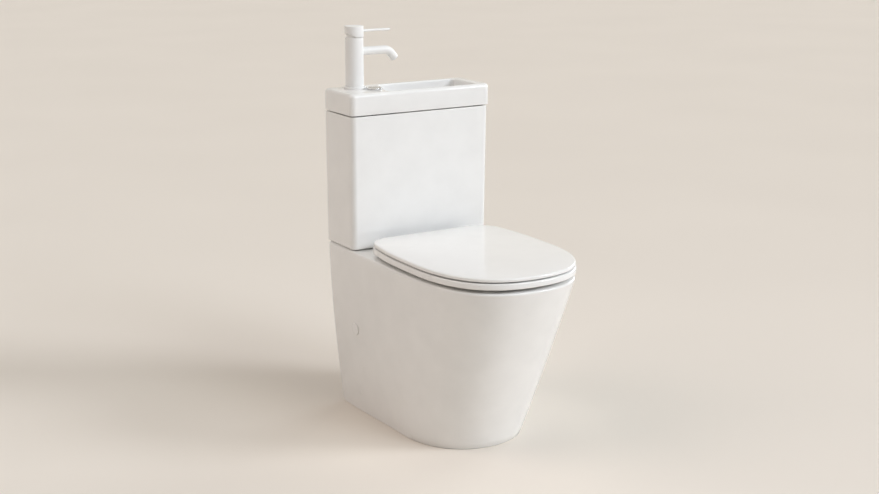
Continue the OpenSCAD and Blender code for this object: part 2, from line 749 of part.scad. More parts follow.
module seat_lid() {
    o = seat_outline();
    side_z = seat_lid_z + seat_lid_side;
    centre = [0, (seat_back_d + seat_front_d) / 2];
    color(satin) {
        difference() {
            loft([level(shrunk(o, 1.5), seat_lid_z), level(o, seat_lid_z + 1.5), level(o, side_z),
                level(shrunk(o, 0.9), side_z + 1.5), level(shrunk(o, 2.8), side_z + 2.8),
                level(scaled(o, 0.95, centre), side_z + seat_crown * 0.52),
                level(scaled(o, 0.85, centre), side_z + seat_crown * 0.7),
                level(scaled(o, 0.65, centre), side_z + seat_crown * 0.89),
                level(scaled(o, 0.35, centre), side_z + seat_crown)]);
            loft([for (z = [seat_lid_z - over, seat_lid_z + lid_recess]) level(shrunk(o, 9), z)]);
            for (side = [-1, 1])
                at(side * hinge_half_span - notch_half, notch_front_d, seat_lid_z - over)
                    cube([2 * notch_half, notch_front_d - seat_back_d + 10,
                        hinge_z + knuckle_r + 2 * gap - seat_lid_z + over]);
        }
        both_sides() knuckle(hinge_half_span - knuckle_out, seat_lid_z + seat_lid_side + 1, knuckle_r);
    }
}
// A place on the ring, a share of the way from its hole to the seat's outline
function on_ring(i, share) = mix(hole_outline(0)[i], seat_outline()[i], share);
module buffers(z, r, h, share) {
    for (i = [side_buffer_i, nose_buffer_i])
        let (p = on_ring(i, share)) at(p.x, p.y, z) cylinder(r = r, h = h);
}
module ring_buffers() {
    color(plastic) both_sides() buffers(deck_z + gap, 8, ring_gap - gap, 0.55);
}
module lid_buffers() {
    color(plastic) both_sides()
        buffers(ring_top_z + gap, 6, seat_lid_z + lid_recess - ring_top_z - gap, 0.42);
}
module hinge_discs() {
    color(chromed) both_sides() at(hinge_half_span, hinge_d, deck_z) tube(19, 4 + run_fit, hinge_disc_h);
}
module hinge_blocks() {
    foot = deck_z + hinge_disc_h;
    color(chromed) both_sides() difference() {
        union() {
            at(hinge_half_span - block_half, hinge_d, hinge_z) along_x()
                cylinder(r = knuckle_r, h = hinge_block_w);
            at(hinge_half_span - block_half, hinge_d + knuckle_r, foot)
                cube([hinge_block_w, 2 * knuckle_r - 1, hinge_z - foot]);
        }
        at(hinge_half_span - block_half - over, hinge_d, hinge_z) along_x()
            cylinder(r = hinge_pin_r + press_fit, h = hinge_block_w + 2 * over);
        at(hinge_half_span, hinge_d, foot - over) cylinder(r = 4 + press_fit, h = 9);
    }
}
module hinge_pins() {
    end = knuckle_out - gap;
    color(steel) both_sides() at(hinge_half_span - end, hinge_d, hinge_z) along_x()
        cylinder(r = hinge_pin_r, h = 2 * end);
}
module hinge_bolts() {
    foot = deck_z - deck_t - 24;
    color(steel) both_sides() at(hinge_half_span, hinge_d, foot)
        cylinder(r = 4, h = deck_z + hinge_disc_h + 7.5 - foot);
}
module hinge_nuts() {
    color(plastic) both_sides() at(hinge_half_span, hinge_d, deck_z - deck_t - 16) difference() {
        union() {
            hex(18, 14);
            translate([0, 0, 13]) cylinder(r = 14, h = 3);
        }
        translate([0, 0, -over]) cylinder(r = 4 + press_fit, h = 16 + 2 * over);
    }
}

// ---- Tap ----

module at_tap(z) {
    at(-tap_left, tap_d, z) children();
}
module tap_base_ring() {
    color(satin) at_tap(lid_z) rotate_extrude() polygon([[stud_r + 0.2, 0], [tap_ring_r, 0],
        [tap_ring_r, tap_ring_h - 1], [tap_ring_r - 1, tap_ring_h], [stud_r + 0.2, tap_ring_h]]);
}
module tap_body() {
    color(satin) difference() {
        at_tap(tap_z) rotate_extrude() polygon([[0, 0], [tap_r, 0], [tap_r, tap_h - 0.6],
            [tap_r - 0.6, tap_h], [0, tap_h]]);
        at_tap(tap_top_z - 7.5 - cartridge_h) cylinder(r = cartridge_r + gap, h = 8 + cartridge_h);
        at_tap(tap_z - over) cylinder(r = stud_r + press_fit, h = 15);
        at_tap(spout_axis_z) translate([12, 0, 0]) along_x() cylinder(r = spout_r + press_fit, h = 20);
        at_tap(spout_axis_z) along_x() cylinder(r = spout_r - spout_wall, h = 14);
    }
}
// A ring of points round the spout, after its straight run, a turn down and a stretch beyond the bend
function spout_ring(run, turn, beyond, r) = let (ahead = [cos(turn), 0, -sin(turn)],
    up = [sin(turn), 0, cos(turn)],
    centre = [run, 0, -spout_bend] + spout_bend * up + beyond * ahead)
    [for (i = [0:31]) let (a = 360 * i / 32) centre + r * (cos(a) * [0, 1, 0] - sin(a) * up)];
module tap_spout() {
    bends = 8;
    stations = concat([[spout_root, 0, 0]], [for (i = [0:bends]) [spout_run, spout_drop * i / bends, 0]],
        [[spout_run, spout_drop, spout_end]]);
    last = len(stations) - 1;
    color(satin) at_tap(spout_axis_z) loft(concat(
        [for (s = stations) spout_ring(s[0], s[1], s[2], spout_r)],
        [for (i = [last:-1:0]) let (s = stations[i]) spout_ring(s[0], s[1], s[2], spout_r - spout_wall)]),
        loop = true);
}
module tap_aerator() {
    color(chromed) at_tap(spout_axis_z - spout_bend) translate([spout_run, 0, 0])
        rotate([0, spout_drop, 0]) translate([spout_end - 9, 0, spout_bend]) along_x() difference() {
            cylinder(r = spout_r - spout_wall - 0.1, h = 10);
            translate([0, 0, 8]) cylinder(r = spout_r - spout_wall - 1.4, h = 4);
        }
}
module tap_cartridge() {
    color(plastic) at_tap(tap_top_z - 7.2 - cartridge_h) cylinder(r = cartridge_r, h = cartridge_h);
}
// Domed nut that holds the cartridge and shows below the cap's cut
module cartridge_nut() {
    top = sqrt(dome_r * dome_r - dome_hole_r * dome_hole_r);
    color(satin) at_tap(cap_z) rotate_extrude() polygon(concat(
        [[rotor_r + gap, -cap_gap - 6.9], [cartridge_r + gap - 0.05, -cap_gap - 6.9],
            [cartridge_r + gap - 0.05, -cap_gap], [dome_r, -cap_gap]],
        [for (i = [0:6]) let (a = mix(0, atan2(top, dome_hole_r), i / 6)) dome_r * [cos(a), sin(a)]],
        [[dome_hole_r, top - 2.4], [rotor_r + gap, top - 4.2]]));
}
module cartridge_rotor() {
    slot_x = 7.8;
    slot_y = stem_r + gap;
    color(plastic) at_tap(cap_z) difference() {
        translate([0, 0, -cap_gap - 6.9]) cylinder(r = rotor_r, h = cap_gap + 6.9 + 3.5);
        translate([-slot_x, -slot_y, -7]) cube([2 * slot_x, 2 * slot_y, 12]);
        along_y() cylinder(r = stem_pin_r + press_fit, h = 24, center = true);
    }
}
module stem_pin() {
    color(steel) at_tap(cap_z) along_y() cylinder(r = stem_pin_r, h = 22, center = true);
}
module cartridge_stem() {
    color(steel) at_tap(cap_z) difference() {
        translate([0, 0, -6]) cylinder(r = stem_r, h = cap_h + 4.3);
        along_y() cylinder(r = stem_pin_r + run_fit, h = 24, center = true);
    }
}
module tap_cap() {
    flat = 5.5;
    color(satin) at_tap(cap_z) difference() {
        rotate_extrude() polygon([[0, 0], [cap_r - 0.4, 0], [cap_r, 0.4], [cap_r, cap_h - 1.6],
            [cap_r - 0.5, cap_h - 0.5], [cap_r - 1.6, cap_h], [0, cap_h]]);
        sphere(r = cavity_r);
        cylinder(r = stem_r + press_fit, h = cap_h - 1.7);
        translate([-flat, 0, 0]) rotate([0, cap_cut, 0]) translate([-60, -40, -60]) cube([60, 80, 60]);
        translate([socket_start - 0.1, 0, lever_z]) along_x() cylinder(r = lever_r + press_fit, h = 20);
        translate([-cap_r - over, 0, cap_h - 3.5]) along_x() cylinder(r = 1.82, h = cap_r - stem_r + 2);
    }
}
module tap_lever() {
    color(satin) at_tap(cap_z + lever_z) translate([socket_start, 0, 0]) along_x() rotate_extrude()
        polygon([[0, 0], [lever_r, 0], [lever_r, 10], [lever_tip_r, lever_len - socket_start - 0.7],
            [lever_tip_r - 0.7, lever_len - socket_start], [0, lever_len - socket_start]]);
}
module cap_screw() {
    color(steel) at_tap(cap_z + cap_h - 3.5) translate([-14, 0, 0]) along_x()
        cylinder(r = 1.8, h = 14 - stem_r - 0.1);
}
module tap_stud() {
    color(steel) at_tap(lid_under_z - 30) cylinder(r = stud_r, h = tap_z + 13 - lid_under_z + 30);
}
module tap_rubber_washer() {
    color(black_rubber) at_tap(lid_under_z - 3) tube(22, stud_r + 0.2, 3);
}
module tap_clamp_washer() {
    color(steel) at_tap(lid_under_z - 5.5) tube(21, stud_r + 0.2, 2.5);
}
module tap_clamp_nut() {
    color(steel) at_tap(lid_under_z - 15.5) difference() {
        hex(17, 10);
        translate([0, 0, -over]) cylinder(r = stud_r + press_fit, h = 12);
    }
}

// ---- Flush button and the works that it presses ----

module at_button(z) {
    at(-button_left, button_d, z) children();
}
module button_bezel() {
    color(chromed) at_button(0) difference() {
        rotate_extrude() polygon([[0, bezel_foot_z], [bezel_body_r, bezel_foot_z], [bezel_body_r, lid_z],
            [bezel_r, lid_z], [bezel_r, lid_z + bezel_h - 1.2], [bezel_r - 1.2, lid_z + bezel_h],
            [button_bore_r + 0.8, lid_z + bezel_h], [button_bore_r, lid_z + bezel_h - 0.8],
            [button_bore_r, bezel_floor_z], [0, bezel_floor_z]]);
        for (y = [full_rod_y, half_rod_y])
            translate([0, y, bezel_foot_z - over]) cylinder(r = button_stem_r + gap, h = 20);
    }
}
module button_nut() {
    color(plastic) at_button(lid_under_z - 9) rotate([0, 0, 30]) difference() {
        hex(37, 9);
        translate([0, 0, -over]) cylinder(r = bezel_body_r + press_fit, h = 9 + 2 * over);
    }
}
// One part of the split round button: side is 1 for the part nearer the wall
module button_part(side, rod_y) {
    top = lid_z + bezel_h;
    at_button(0) difference() {
        union() {
            intersection() {
                rotate_extrude() polygon([[0, top - button_t], [button_r, top - button_t],
                    [button_r, top - 0.7], [button_r - 0.7, top], [0, top]]);
                translate([-20, side > 0 ? button_split + 0.25 : -40 + button_split - 0.25, top - 10])
                    cube([40, 40, 20]);
            }
            translate([0, rod_y, bezel_foot_z - 4]) cylinder(r = button_stem_r, h = top - bezel_foot_z + 3);
        }
        translate([0, rod_y, bezel_foot_z - 5]) cylinder(r = rod_r + press_fit, h = 15);
    }
}
module full_button() {
    color(chromed) button_part(-1, full_rod_y);
}
module half_button() {
    color(chromed) button_part(1, half_rod_y);
}
module push_rod(y) {
    foot = rocker_z + rocker_up + gap + rod_r;
    at_button(foot) translate([0, y, 0]) {
        sphere(r = rod_r);
        cylinder(r = rod_r, h = bezel_foot_z + 9 - foot);
    }
}
module full_rod() {
    color(steel) push_rod(full_rod_y);
}
module half_rod() {
    color(steel) push_rod(half_rod_y);
}
module button_springs() {
    room = lid_z + bezel_h - button_t - button_travel - bezel_floor_z;
    color(steel) at_button(bezel_floor_z) for (y = [full_rod_y, half_rod_y])
        translate([0, y, 0]) tube(button_stem_r + 1.5, button_stem_r + 0.4, room - 0.6);
}
// Plate on top of the flush valve with three ears for the rockers' pin
module lever_bracket() {
    ear = 4;
    ear_d = [half_d - rocker_half_t - gap - ear, (full_d + half_d - ear) / 2, full_d + rocker_half_t + gap];
    color(plastic) difference() {
        union() {
            at(rocker_x - 8, full_d + 8, tower_top_z) cube([50, full_d + 8 - 62, 5]);
            for (d = ear_d) at(rocker_x - 6, d + ear, tower_top_z) cube([12, ear, 19]);
        }
        at(rocker_x, full_d + 10, rocker_z) rotate([90, 0, 0]) rotate([180, 0, 0])
            cylinder(r = 2 + press_fit, h = 50);
        at(trip_x, half_d, tower_top_z - over) cylinder(r = 2.5 + gap, h = 10);
        at(0, valve_d, tower_top_z - over) cylinder(r = plunger_r + 3, h = 10);
    }
}
module lever_pin() {
    first = half_d - rocker_half_t - gap - 4;
    last = full_d + rocker_half_t + gap + 4;
    color(steel) at(rocker_x, last, rocker_z) along_y() cylinder(r = 2, h = last - first);
}
module rocker_bar(d, right) {
    at(rocker_x - rocker_arm - 6, d + rocker_half_t, rocker_z + rocker_up - 9)
        cube([rocker_arm + 6 + right, 2 * rocker_half_t, 9]);
}
module rocker_bore(d) {
    at(rocker_x, d + 10, rocker_z) along_y() cylinder(r = 2 + run_fit, h = 20);
}
// The bar on the full button's side, with a fork that lifts the plunger by its collar
module full_lever() {
    fork_back = 14;
    fork_front = 12;
    fork_d = full_d + rocker_half_t;
    color(plastic) difference() {
        union() {
            rocker_bar(full_d, -rocker_x);
            at(-fork_back, fork_d, rocker_z + rocker_up - 9)
                cube([fork_back + fork_front, fork_d - valve_d + 17, 9]);
        }
        rocker_bore(full_d);
        at(-plunger_r - 1.5, valve_d + plunger_r + 1.5, rocker_z - 10)
            cube([40, 2 * plunger_r + 3, 30]);
    }
}
module half_lever() {
    color(plastic) difference() {
        union() {
            rocker_bar(half_d, trip_x - rocker_x - 6);
            at(trip_x - 7, half_d + 7, rocker_z + rocker_up - 9) cube([12, 14, 9]);
        }
        rocker_bore(half_d);
        at(trip_x - 5, half_d + 3.2, rocker_z - 10) cube([11, 6.4, 30]);
    }
}
module flush_valve() {
    color(plastic) at(0, valve_d, 0) difference() {
        union() {
            translate([0, 0, deck_z - 12]) cylinder(r = tail_r, h = floor_z - deck_z + 16);
            translate([0, 0, floor_z + 3]) cylinder(r = 42, h = 4);
            translate([0, 0, floor_z + 3]) cylinder(r = tower_r, h = tower_top_z - floor_z - 3);
        }
        translate([0, 0, deck_z - 13]) cylinder(r = tail_r - 4, h = floor_z - deck_z + 30);
        translate([0, 0, floor_z + 11]) cylinder(r = tower_r - 2.5, h = tower_top_z - floor_z - 16);
        translate([0, 0, floor_z]) cylinder(r = plunger_r + 0.5, h = tower_top_z);
        for (a = [30:120:270]) rotate([0, 0, a]) translate([0, -13, floor_z + 14]) cube([60, 26, 44]);
    }
}
module valve_washer() {
    color(black_rubber) at(0, valve_d, floor_z) tube(42, tail_r + 0.2, 3);
}
module valve_backnut() {
    color(plastic) at(0, valve_d, valve_nut_z()) difference() {
        hex(76, 11);
        translate([0, 0, -over]) cylinder(r = tail_r + press_fit, h = 13);
    }
}
// Overflow pipe that lifts the seal off its seat
module valve_plunger() {
    foot = floor_z + 15;
    collar_z = rocker_z + rocker_up + gap;
    color(plastic) at(0, valve_d, 0) difference() {
        union() {
            translate([0, 0, foot]) cylinder(r = plunger_r, h = collar_z + 14 - foot);
            translate([0, 0, foot]) cylinder(r = 27, h = 4);
            translate([0, 0, collar_z]) cylinder(r = plunger_r + 8, h = 3);
        }
        translate([0, 0, foot - over]) cylinder(r = plunger_r - 2, h = 400);
    }
}
module plunger_seal() {
    color(black_rubber) at(0, valve_d, floor_z + 11 + gap) tube(30, plunger_r - 2, 4 - gap);
}
module trip_rod() {
    collar_z = rocker_z + rocker_up + gap;
    color(plastic) at(trip_x, half_d, 0) {
        translate([0, 0, tower_top_z - 60]) cylinder(r = 2.5, h = collar_z + 4 - tower_top_z + 60);
        translate([0, 0, collar_z]) cylinder(r = 5.5, h = 2);
    }
}

// ---- Filling valve ----

module at_fill(z) {
    at(fill_x, valve_d, z) children();
}
// Its inlet is narrower than the threaded shank above it, which the nut sits on
module fill_valve() {
    nut_z = floor_under_z - fill_nut_h;
    inlet_foot_z = deck_z - 18;
    inlet_len = nut_z - thread_relief - inlet_foot_z;
    color(plastic) at_fill(0) {
        translate([0, 0, inlet_foot_z]) tube(inlet_r, 6, inlet_len);
        translate([0, 0, inlet_foot_z + inlet_len - over]) tube(inlet_r - 0.5, 6, thread_relief + 2 * over);
        translate([0, 0, nut_z]) tube(shank_r, 6, floor_z - nut_z);
        translate([0, 0, floor_z + 2]) cylinder(r = 17, h = 4);
        translate([0, 0, floor_z - over]) cylinder(r = shank_r, h = 4);
        translate([0, 0, floor_z + 5]) cylinder(r = 9, h = fill_top_z - floor_z);
        translate([0, 0, fill_top_z]) cylinder(r = arm_pivot, h = 14);
        difference() {
            translate([-arm_pivot - 5, -9, fill_top_z]) cube([10, 18, 22]);
            translate([-arm_pivot - 6, -4, fill_top_z + 8]) cube([20, 8, 20]);
        }
        translate([-arm_pivot, 0, arm_z]) along_y() cylinder(r = 1.5, h = 18, center = true);
    }
}
module fill_washer() {
    color(black_rubber) at_fill(floor_z) tube(17, shank_r + press_fit, 2);
}
module fill_nut() {
    color(plastic) at_fill(floor_under_z - fill_nut_h) difference() {
        hex(30, fill_nut_h);
        translate([0, 0, -over]) cylinder(r = shank_r + press_fit, h = fill_nut_h + 2);
    }
}
module fill_float() {
    rod_x = -arm_pivot - arm_len;
    color(plastic) at_fill(float_z) {
        tube(24, 9 + gap, float_h);
        translate([rod_x, -3, float_h - 6]) cube([arm_len - 8, 6, 6]);
        translate([rod_x, 0, float_h - 6]) cylinder(r = 1.5, h = arm_z + 6 - float_z - float_h + 6);
        translate([rod_x, 0, arm_z - float_z + 3]) cylinder(r = 3.5, h = 2);
    }
}
module fill_arm() {
    color(plastic) at_fill(arm_z) translate([-arm_pivot, 0, 0]) difference() {
        union() {
            along_y() cylinder(r = 3.5, h = 7, center = true);
            translate([-arm_len - 11, -3.5, -2]) cube([arm_len + 11, 7, 4]);
        }
        along_y() cylinder(r = 1.5 + run_fit, h = 20, center = true);
        translate([-arm_len - 7, -2, -5]) cube([11, 4, 10]);
    }
}

pan();
cistern_tank();
basin_lid();
seat_ring();
seat_lid();
ring_buffers();
lid_buffers();
hinge_discs();
hinge_blocks();
hinge_pins();
hinge_bolts();
hinge_nuts();
tap_base_ring();
tap_body();
tap_spout();
tap_aerator();
tap_cartridge();
cartridge_nut();
cartridge_rotor();
stem_pin();
cartridge_stem();
tap_cap();
tap_lever();
cap_screw();
tap_stud();
tap_rubber_washer();
tap_clamp_washer();
tap_clamp_nut();
button_bezel();
button_nut();
full_button();
half_button();
full_rod();
half_rod();
button_springs();
lever_bracket();
lever_pin();
full_lever();
half_lever();
flush_valve();
valve_washer();
valve_backnut();
valve_plunger();
plunger_seal();
trip_rod();
fill_valve();
fill_washer();
fill_nut();
fill_float();
fill_arm();
basin_waste();
waste_nut();
coupling_gasket();
cistern_bolts();
bolt_seals();
wing_nuts();
access_caps();
floor_brackets();
side_screws();
screw_caps();
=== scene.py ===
import json
import math

import bmesh
import bpy
import numpy as np
from mathutils import Matrix, Vector


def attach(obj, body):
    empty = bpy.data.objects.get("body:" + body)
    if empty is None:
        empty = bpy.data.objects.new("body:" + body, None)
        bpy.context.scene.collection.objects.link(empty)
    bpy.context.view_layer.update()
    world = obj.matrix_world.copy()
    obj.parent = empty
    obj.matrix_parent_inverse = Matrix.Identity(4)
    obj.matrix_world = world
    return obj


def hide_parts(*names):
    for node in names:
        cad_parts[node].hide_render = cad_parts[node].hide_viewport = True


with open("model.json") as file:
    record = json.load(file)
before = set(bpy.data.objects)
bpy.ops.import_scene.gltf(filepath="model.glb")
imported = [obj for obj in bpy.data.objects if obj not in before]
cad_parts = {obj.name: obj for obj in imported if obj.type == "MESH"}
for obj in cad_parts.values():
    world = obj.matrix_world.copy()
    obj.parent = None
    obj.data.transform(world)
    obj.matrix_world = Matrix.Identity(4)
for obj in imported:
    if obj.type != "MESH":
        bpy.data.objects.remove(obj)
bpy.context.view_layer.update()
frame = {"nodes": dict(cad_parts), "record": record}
nodes = frame["nodes"]
print("frame loaded:", len(nodes), "nodes")

# All sizes below are millimetres. x is to the right, d is the distance from the wall, z is up.
wallY = 310.0
deckZ = 408.0


def toLinear(code):
    # sRGB hex value to linear colour
    parts = [int(code[i:i + 2], 16) / 255 for i in (1, 3, 5)]
    return tuple(c / 12.92 if c <= 0.04045 else ((c + 0.055) / 1.055) ** 2.4 for c in parts) + (1.0,)


def addNode(tree, kind, settings=None, inputs=None):
    # adds a node, sets its properties, and sets or links its inputs
    node = tree.nodes.new(kind)
    for key, value in (settings or {}).items():
        setattr(node, key, value)
    for key, value in (inputs or {}).items():
        if isinstance(value, bpy.types.NodeSocket):
            tree.links.new(value, node.inputs[key])
        else:
            node.inputs[key].default_value = value
    return node


def mix(a, b, t):
    return a + (b - a) * t


def place(points):
    # (x, d, z) in millimetres to the scene's metres
    p = np.asarray(points, float)
    return np.stack([p[:, 0], wallY - p[:, 1], p[:, 2]], 1) / 1000


def level(outline, z):
    return np.column_stack([outline, np.full(len(outline), float(z))])


def makeObject(name, verts, faces, smoothAngle=32, merge=1e-6):
    mesh = bpy.data.meshes.new(name)
    mesh.from_pydata([tuple(v) for v in verts], [], faces)
    work = bmesh.new()
    work.from_mesh(mesh)
    bmesh.ops.remove_doubles(work, verts=work.verts, dist=merge)
    bmesh.ops.dissolve_degenerate(work, dist=1e-7, edges=work.edges)
    bmesh.ops.recalc_face_normals(work, faces=work.faces)
    work.to_mesh(mesh)
    work.free()
    obj = bpy.data.objects.new(name, mesh)
    bpy.context.scene.collection.objects.link(obj)
    smooth(obj, smoothAngle)
    return obj


def smooth(obj, angle=32):
    obj.data.shade_smooth()
    obj.data.set_sharp_from_angle(angle=math.radians(angle))


def ringFaces(n, first, second):
    # quads between two rings of n points
    return [(first + i, first + (i + 1) % n, second + (i + 1) % n, second + i) for i in range(n)]


def loft(name, rings, loop=False, lowCap=True, highCap=True, smoothAngle=32):
    n = len(rings[0])
    verts = [p for ring in rings for p in place(ring)]
    faces = []
    for k in range(len(rings) - 1):
        faces += ringFaces(n, k * n, (k + 1) * n)
    if loop:
        faces += ringFaces(n, (len(rings) - 1) * n, 0)
    else:
        for use, k in ((lowCap, 0), (highCap, len(rings) - 1)):
            if use:
                verts.append(np.mean(place(rings[k]), 0))
                faces += [(len(verts) - 1, k * n + (i + 1) % n, k * n + i) for i in range(n)]
    return makeObject(name, verts, faces, smoothAngle)


def revolve(name, profile, centre, axis=(0, 0, 1), steps=96, smoothAngle=32, closed=False):
    # turns (r, h) points round an axis through centre, given in millimetres as (x, d, z)
    count = len(profile)
    verts, faces = [], []
    turn = Vector((0, 0, 1)).rotation_difference(Vector(axis)).to_matrix()
    origin = Vector(place([centre])[0])
    for i in range(steps):
        a = 2 * math.pi * i / steps
        for r, h in profile:
            verts.append(origin + turn @ Vector((r * math.cos(a), r * math.sin(a), h)) / 1000)
    rows = count if closed else count - 1
    for i in range(steps):
        for k in range(rows):
            j, m = (i + 1) % steps, (k + 1) % count
            faces.append((i * count + k, j * count + k, j * count + m, i * count + m))
    return makeObject(name, verts, faces, smoothAngle)


def rounded(corners, radii, steps=6):
    # an (r, h) profile with its corners rounded
    out = []
    for i, (corner, radius) in enumerate(zip(corners, radii)):
        here = np.array(corner, float)
        if radius <= 0 or i in (0, len(corners) - 1):
            out.append(tuple(here))
            continue
        before = np.array(corners[i - 1], float) - here
        after = np.array(corners[i + 1], float) - here
        u, v = before / np.linalg.norm(before), after / np.linalg.norm(after)
        half = math.acos(max(-1, min(1, float(u @ v)))) / 2
        reach = min(radius / math.tan(half), 0.49 * min(np.linalg.norm(before), np.linalg.norm(after)))
        r = reach * math.tan(half)
        bisector = (u + v) / np.linalg.norm(u + v)
        centre = here + bisector * r / math.sin(half)
        a, b = here + u * reach - centre, here + v * reach - centre
        angle = math.acos(max(-1, min(1, float(a @ b) / (r * r))))
        sign = np.sign(a[0] * b[1] - a[1] * b[0])
        for k in range(steps + 1):
            t = sign * angle * k / steps
            out.append((centre[0] + a[0] * math.cos(t) - a[1] * math.sin(t),
                        centre[1] + a[0] * math.sin(t) + a[1] * math.cos(t)))
    return out


def block(name, x0, x1, d0, d1, z0, z1):
    verts = place([(x, d, z) for z in (z0, z1) for x, d in ((x0, d0), (x1, d0), (x1, d1), (x0, d1))])
    faces = [(0, 1, 2, 3), (7, 6, 5, 4), (0, 4, 5, 1), (1, 5, 6, 2), (2, 6, 7, 3), (3, 7, 4, 0)]
    return makeObject(name, verts, faces, 5)


def carve(obj, tools, operation="DIFFERENCE"):
    # applies exact booleans, then removes the tools
    for tool in tools:
        modifier = obj.modifiers.new("cut", "BOOLEAN")
        modifier.operation = operation
        modifier.solver = "EXACT"
        modifier.object = tool
        bpy.context.view_layer.update()
        graph = bpy.context.evaluated_depsgraph_get()
        mesh = bpy.data.meshes.new_from_object(obj.evaluated_get(graph))
        obj.modifiers.clear()
        obj.data = mesh
    for tool in tools:
        bpy.data.objects.remove(tool)
    return obj


def softenEdges(obj, width, segments=3, angle=35):
    bevel = obj.modifiers.new("soft edges", "BEVEL")
    bevel.width = width / 1000
    bevel.segments = segments
    bevel.limit_method = "ANGLE"
    bevel.angle_limit = math.radians(angle)
    bevel.harden_normals = False
    graph = bpy.context.evaluated_depsgraph_get()
    mesh = bpy.data.meshes.new_from_object(obj.evaluated_get(graph))
    obj.modifiers.clear()
    obj.data = mesh
    smooth(obj, 40)
    return obj


def joinObjects(name, parts):
    work = bmesh.new()
    for part in parts:
        work.from_mesh(part.data)
    mesh = bpy.data.meshes.new(name)
    work.to_mesh(mesh)
    work.free()
    for part in parts:
        bpy.data.objects.remove(part)
    obj = bpy.data.objects.new(name, mesh)
    bpy.context.scene.collection.objects.link(obj)
    smooth(obj, 40)
    return obj


def finishPiece(obj, material, body, slot, *stoodFor):
    obj.data.materials.clear()
    obj.data.materials.append(material)
    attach(obj, body)
    if stoodFor:
        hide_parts(*stoodFor)
    return obj


# Right half of an outline, from the middle of its back to its nose, as (x, d)
def halfOutline(wBack, dBack, corner, slant, wWide, dWide, pull, dNose, steps=(10, 14, 46)):
    start = np.array([wBack, dBack + corner])
    wide = np.array([wWide, dWide])
    reach = 0.4 * (dWide - start[1])
    lean = math.radians(slant)
    side = [start, start + reach * np.array([math.sin(lean), math.cos(lean)]),
            wide - np.array([0, reach]), wide]
    nose = [wide, wide + np.array([0, pull[0] * (dNose - dWide)]),
            np.array([pull[1] * wWide, dNose]), np.array([0, dNose])]
    points = [np.array([0.0, dBack])]
    for i in range(steps[0] + 1):
        a = math.radians(-90 + 90 * i / steps[0])
        points.append(np.array([wBack - corner + corner * math.cos(a),
                                dBack + corner + corner * math.sin(a)]))
    for curve, count in ((side, steps[1]), (nose, steps[2])):
        for i in range(1, count + 1):
            t = i / count
            points.append((1 - t) ** 3 * curve[0] + 3 * (1 - t) ** 2 * t * curve[1]
                          + 3 * (1 - t) * t * t * curve[2] + t ** 3 * curve[3])
    return np.array(points)


def whole(half):
    mirrored = half[-2:0:-1] * np.array([-1, 1])
    return np.vstack([half, mirrored])


def shrunk(outline, t):
    # each point moved inwards by t
    edge = np.roll(outline, -1, 0) - np.roll(outline, 1, 0)
    normal = np.column_stack([-edge[:, 1], edge[:, 0]])
    return outline + t * normal / np.linalg.norm(normal, axis=1, keepdims=True)


def quarter(step=15, first=0, last=90):
    # the sine and cosine of each angle on the way round a quarter turn
    angles = [math.radians(a) for a in range(first, last + 1, step)]
    return [(math.sin(a), math.cos(a)) for a in angles]


def boxOutline(leftBack, leftFront, right, dBack, dFront, rBack, rFront, steps=10):
    # a rectangle with round corners, whose left side may slant
    points = []
    for x, d, r, first in ((right - rBack, dBack + rBack, rBack, -90),
                           (right - rFront, dFront - rFront, rFront, 0),
                           (-leftFront + rFront, dFront - rFront, rFront, 90),
                           (-leftBack + rBack, dBack + rBack, rBack, 180)):
        for i in range(steps + 1):
            a = math.radians(first + 90 * i / steps)
            points.append([x + r * math.cos(a), d + r * math.sin(a)])
    return np.array(points)


def newMaterial(name):
    material = bpy.data.materials.new(name)
    material.use_nodes = True
    tree = material.node_tree
    tree.nodes.clear()
    shader = addNode(tree, "ShaderNodeBsdfPrincipled")
    addNode(tree, "ShaderNodeOutputMaterial", inputs={"Surface": shader.outputs["BSDF"]})
    where = addNode(tree, "ShaderNodeTexCoord").outputs["Object"]
    return material, tree, shader, where


def pattern(tree, where, pitch, detail=2.0):
    # noise whose lumps are about pitch millimetres across
    return addNode(tree, "ShaderNodeTexNoise", inputs={
        "Vector": where, "Scale": 1000 / pitch, "Detail": detail, "Roughness": 0.5}).outputs["Fac"]


def spread(tree, value, low, high):
    return addNode(tree, "ShaderNodeMapRange", inputs={
        "Value": value, "From Min": 0.3, "From Max": 0.7, "To Min": low, "To Max": high}).outputs["Result"]


def tint(tree, value, dark, light):
    blend = addNode(tree, "ShaderNodeMix", {"data_type": "RGBA"})
    blend.inputs["A"].default_value = toLinear(dark)
    blend.inputs["B"].default_value = toLinear(light)
    tree.links.new(value, blend.inputs["Factor"])
    return blend.outputs["Result"]


def relief(tree, height, depth, under=None):
    inputs = {"Height": height, "Strength": 1.0, "Distance": depth / 1000}
    if under is not None:
        inputs["Normal"] = under
    return addNode(tree, "ShaderNodeBump", inputs=inputs).outputs["Normal"]


# Vitreous china, slip-cast, glazed and fired: a deep gloss over a body that is never quite flat
chinaLook = {"dark": "#f1f0ee", "light": "#f5f4f2", "pool": 60, "wave": 38, "waveDepth": 0.05,
             "peel": 5, "peelDepth": 0.002, "gloss": 90, "rough": (0.07, 0.13), "ior": 1.52}


def makeVitreousChina():
    material, tree, shader, where = newMaterial("vitreousChina")
    look = chinaLook
    pool = pattern(tree, where, look["pool"], 3)
    tree.links.new(tint(tree, spread(tree, pool, 0, 1), look["dark"], look["light"]),
                   shader.inputs["Base Color"])
    wave = relief(tree, pattern(tree, where, look["wave"], 1), look["waveDepth"])
    peel = relief(tree, pattern(tree, where, look["peel"], 1), look["peelDepth"], wave)
    tree.links.new(peel, shader.inputs["Normal"])
    gloss = pattern(tree, where, look["gloss"])
    tree.links.new(spread(tree, gloss, *look["rough"]), shader.inputs["Roughness"])
    shader.inputs["IOR"].default_value = look["ior"]
    return material


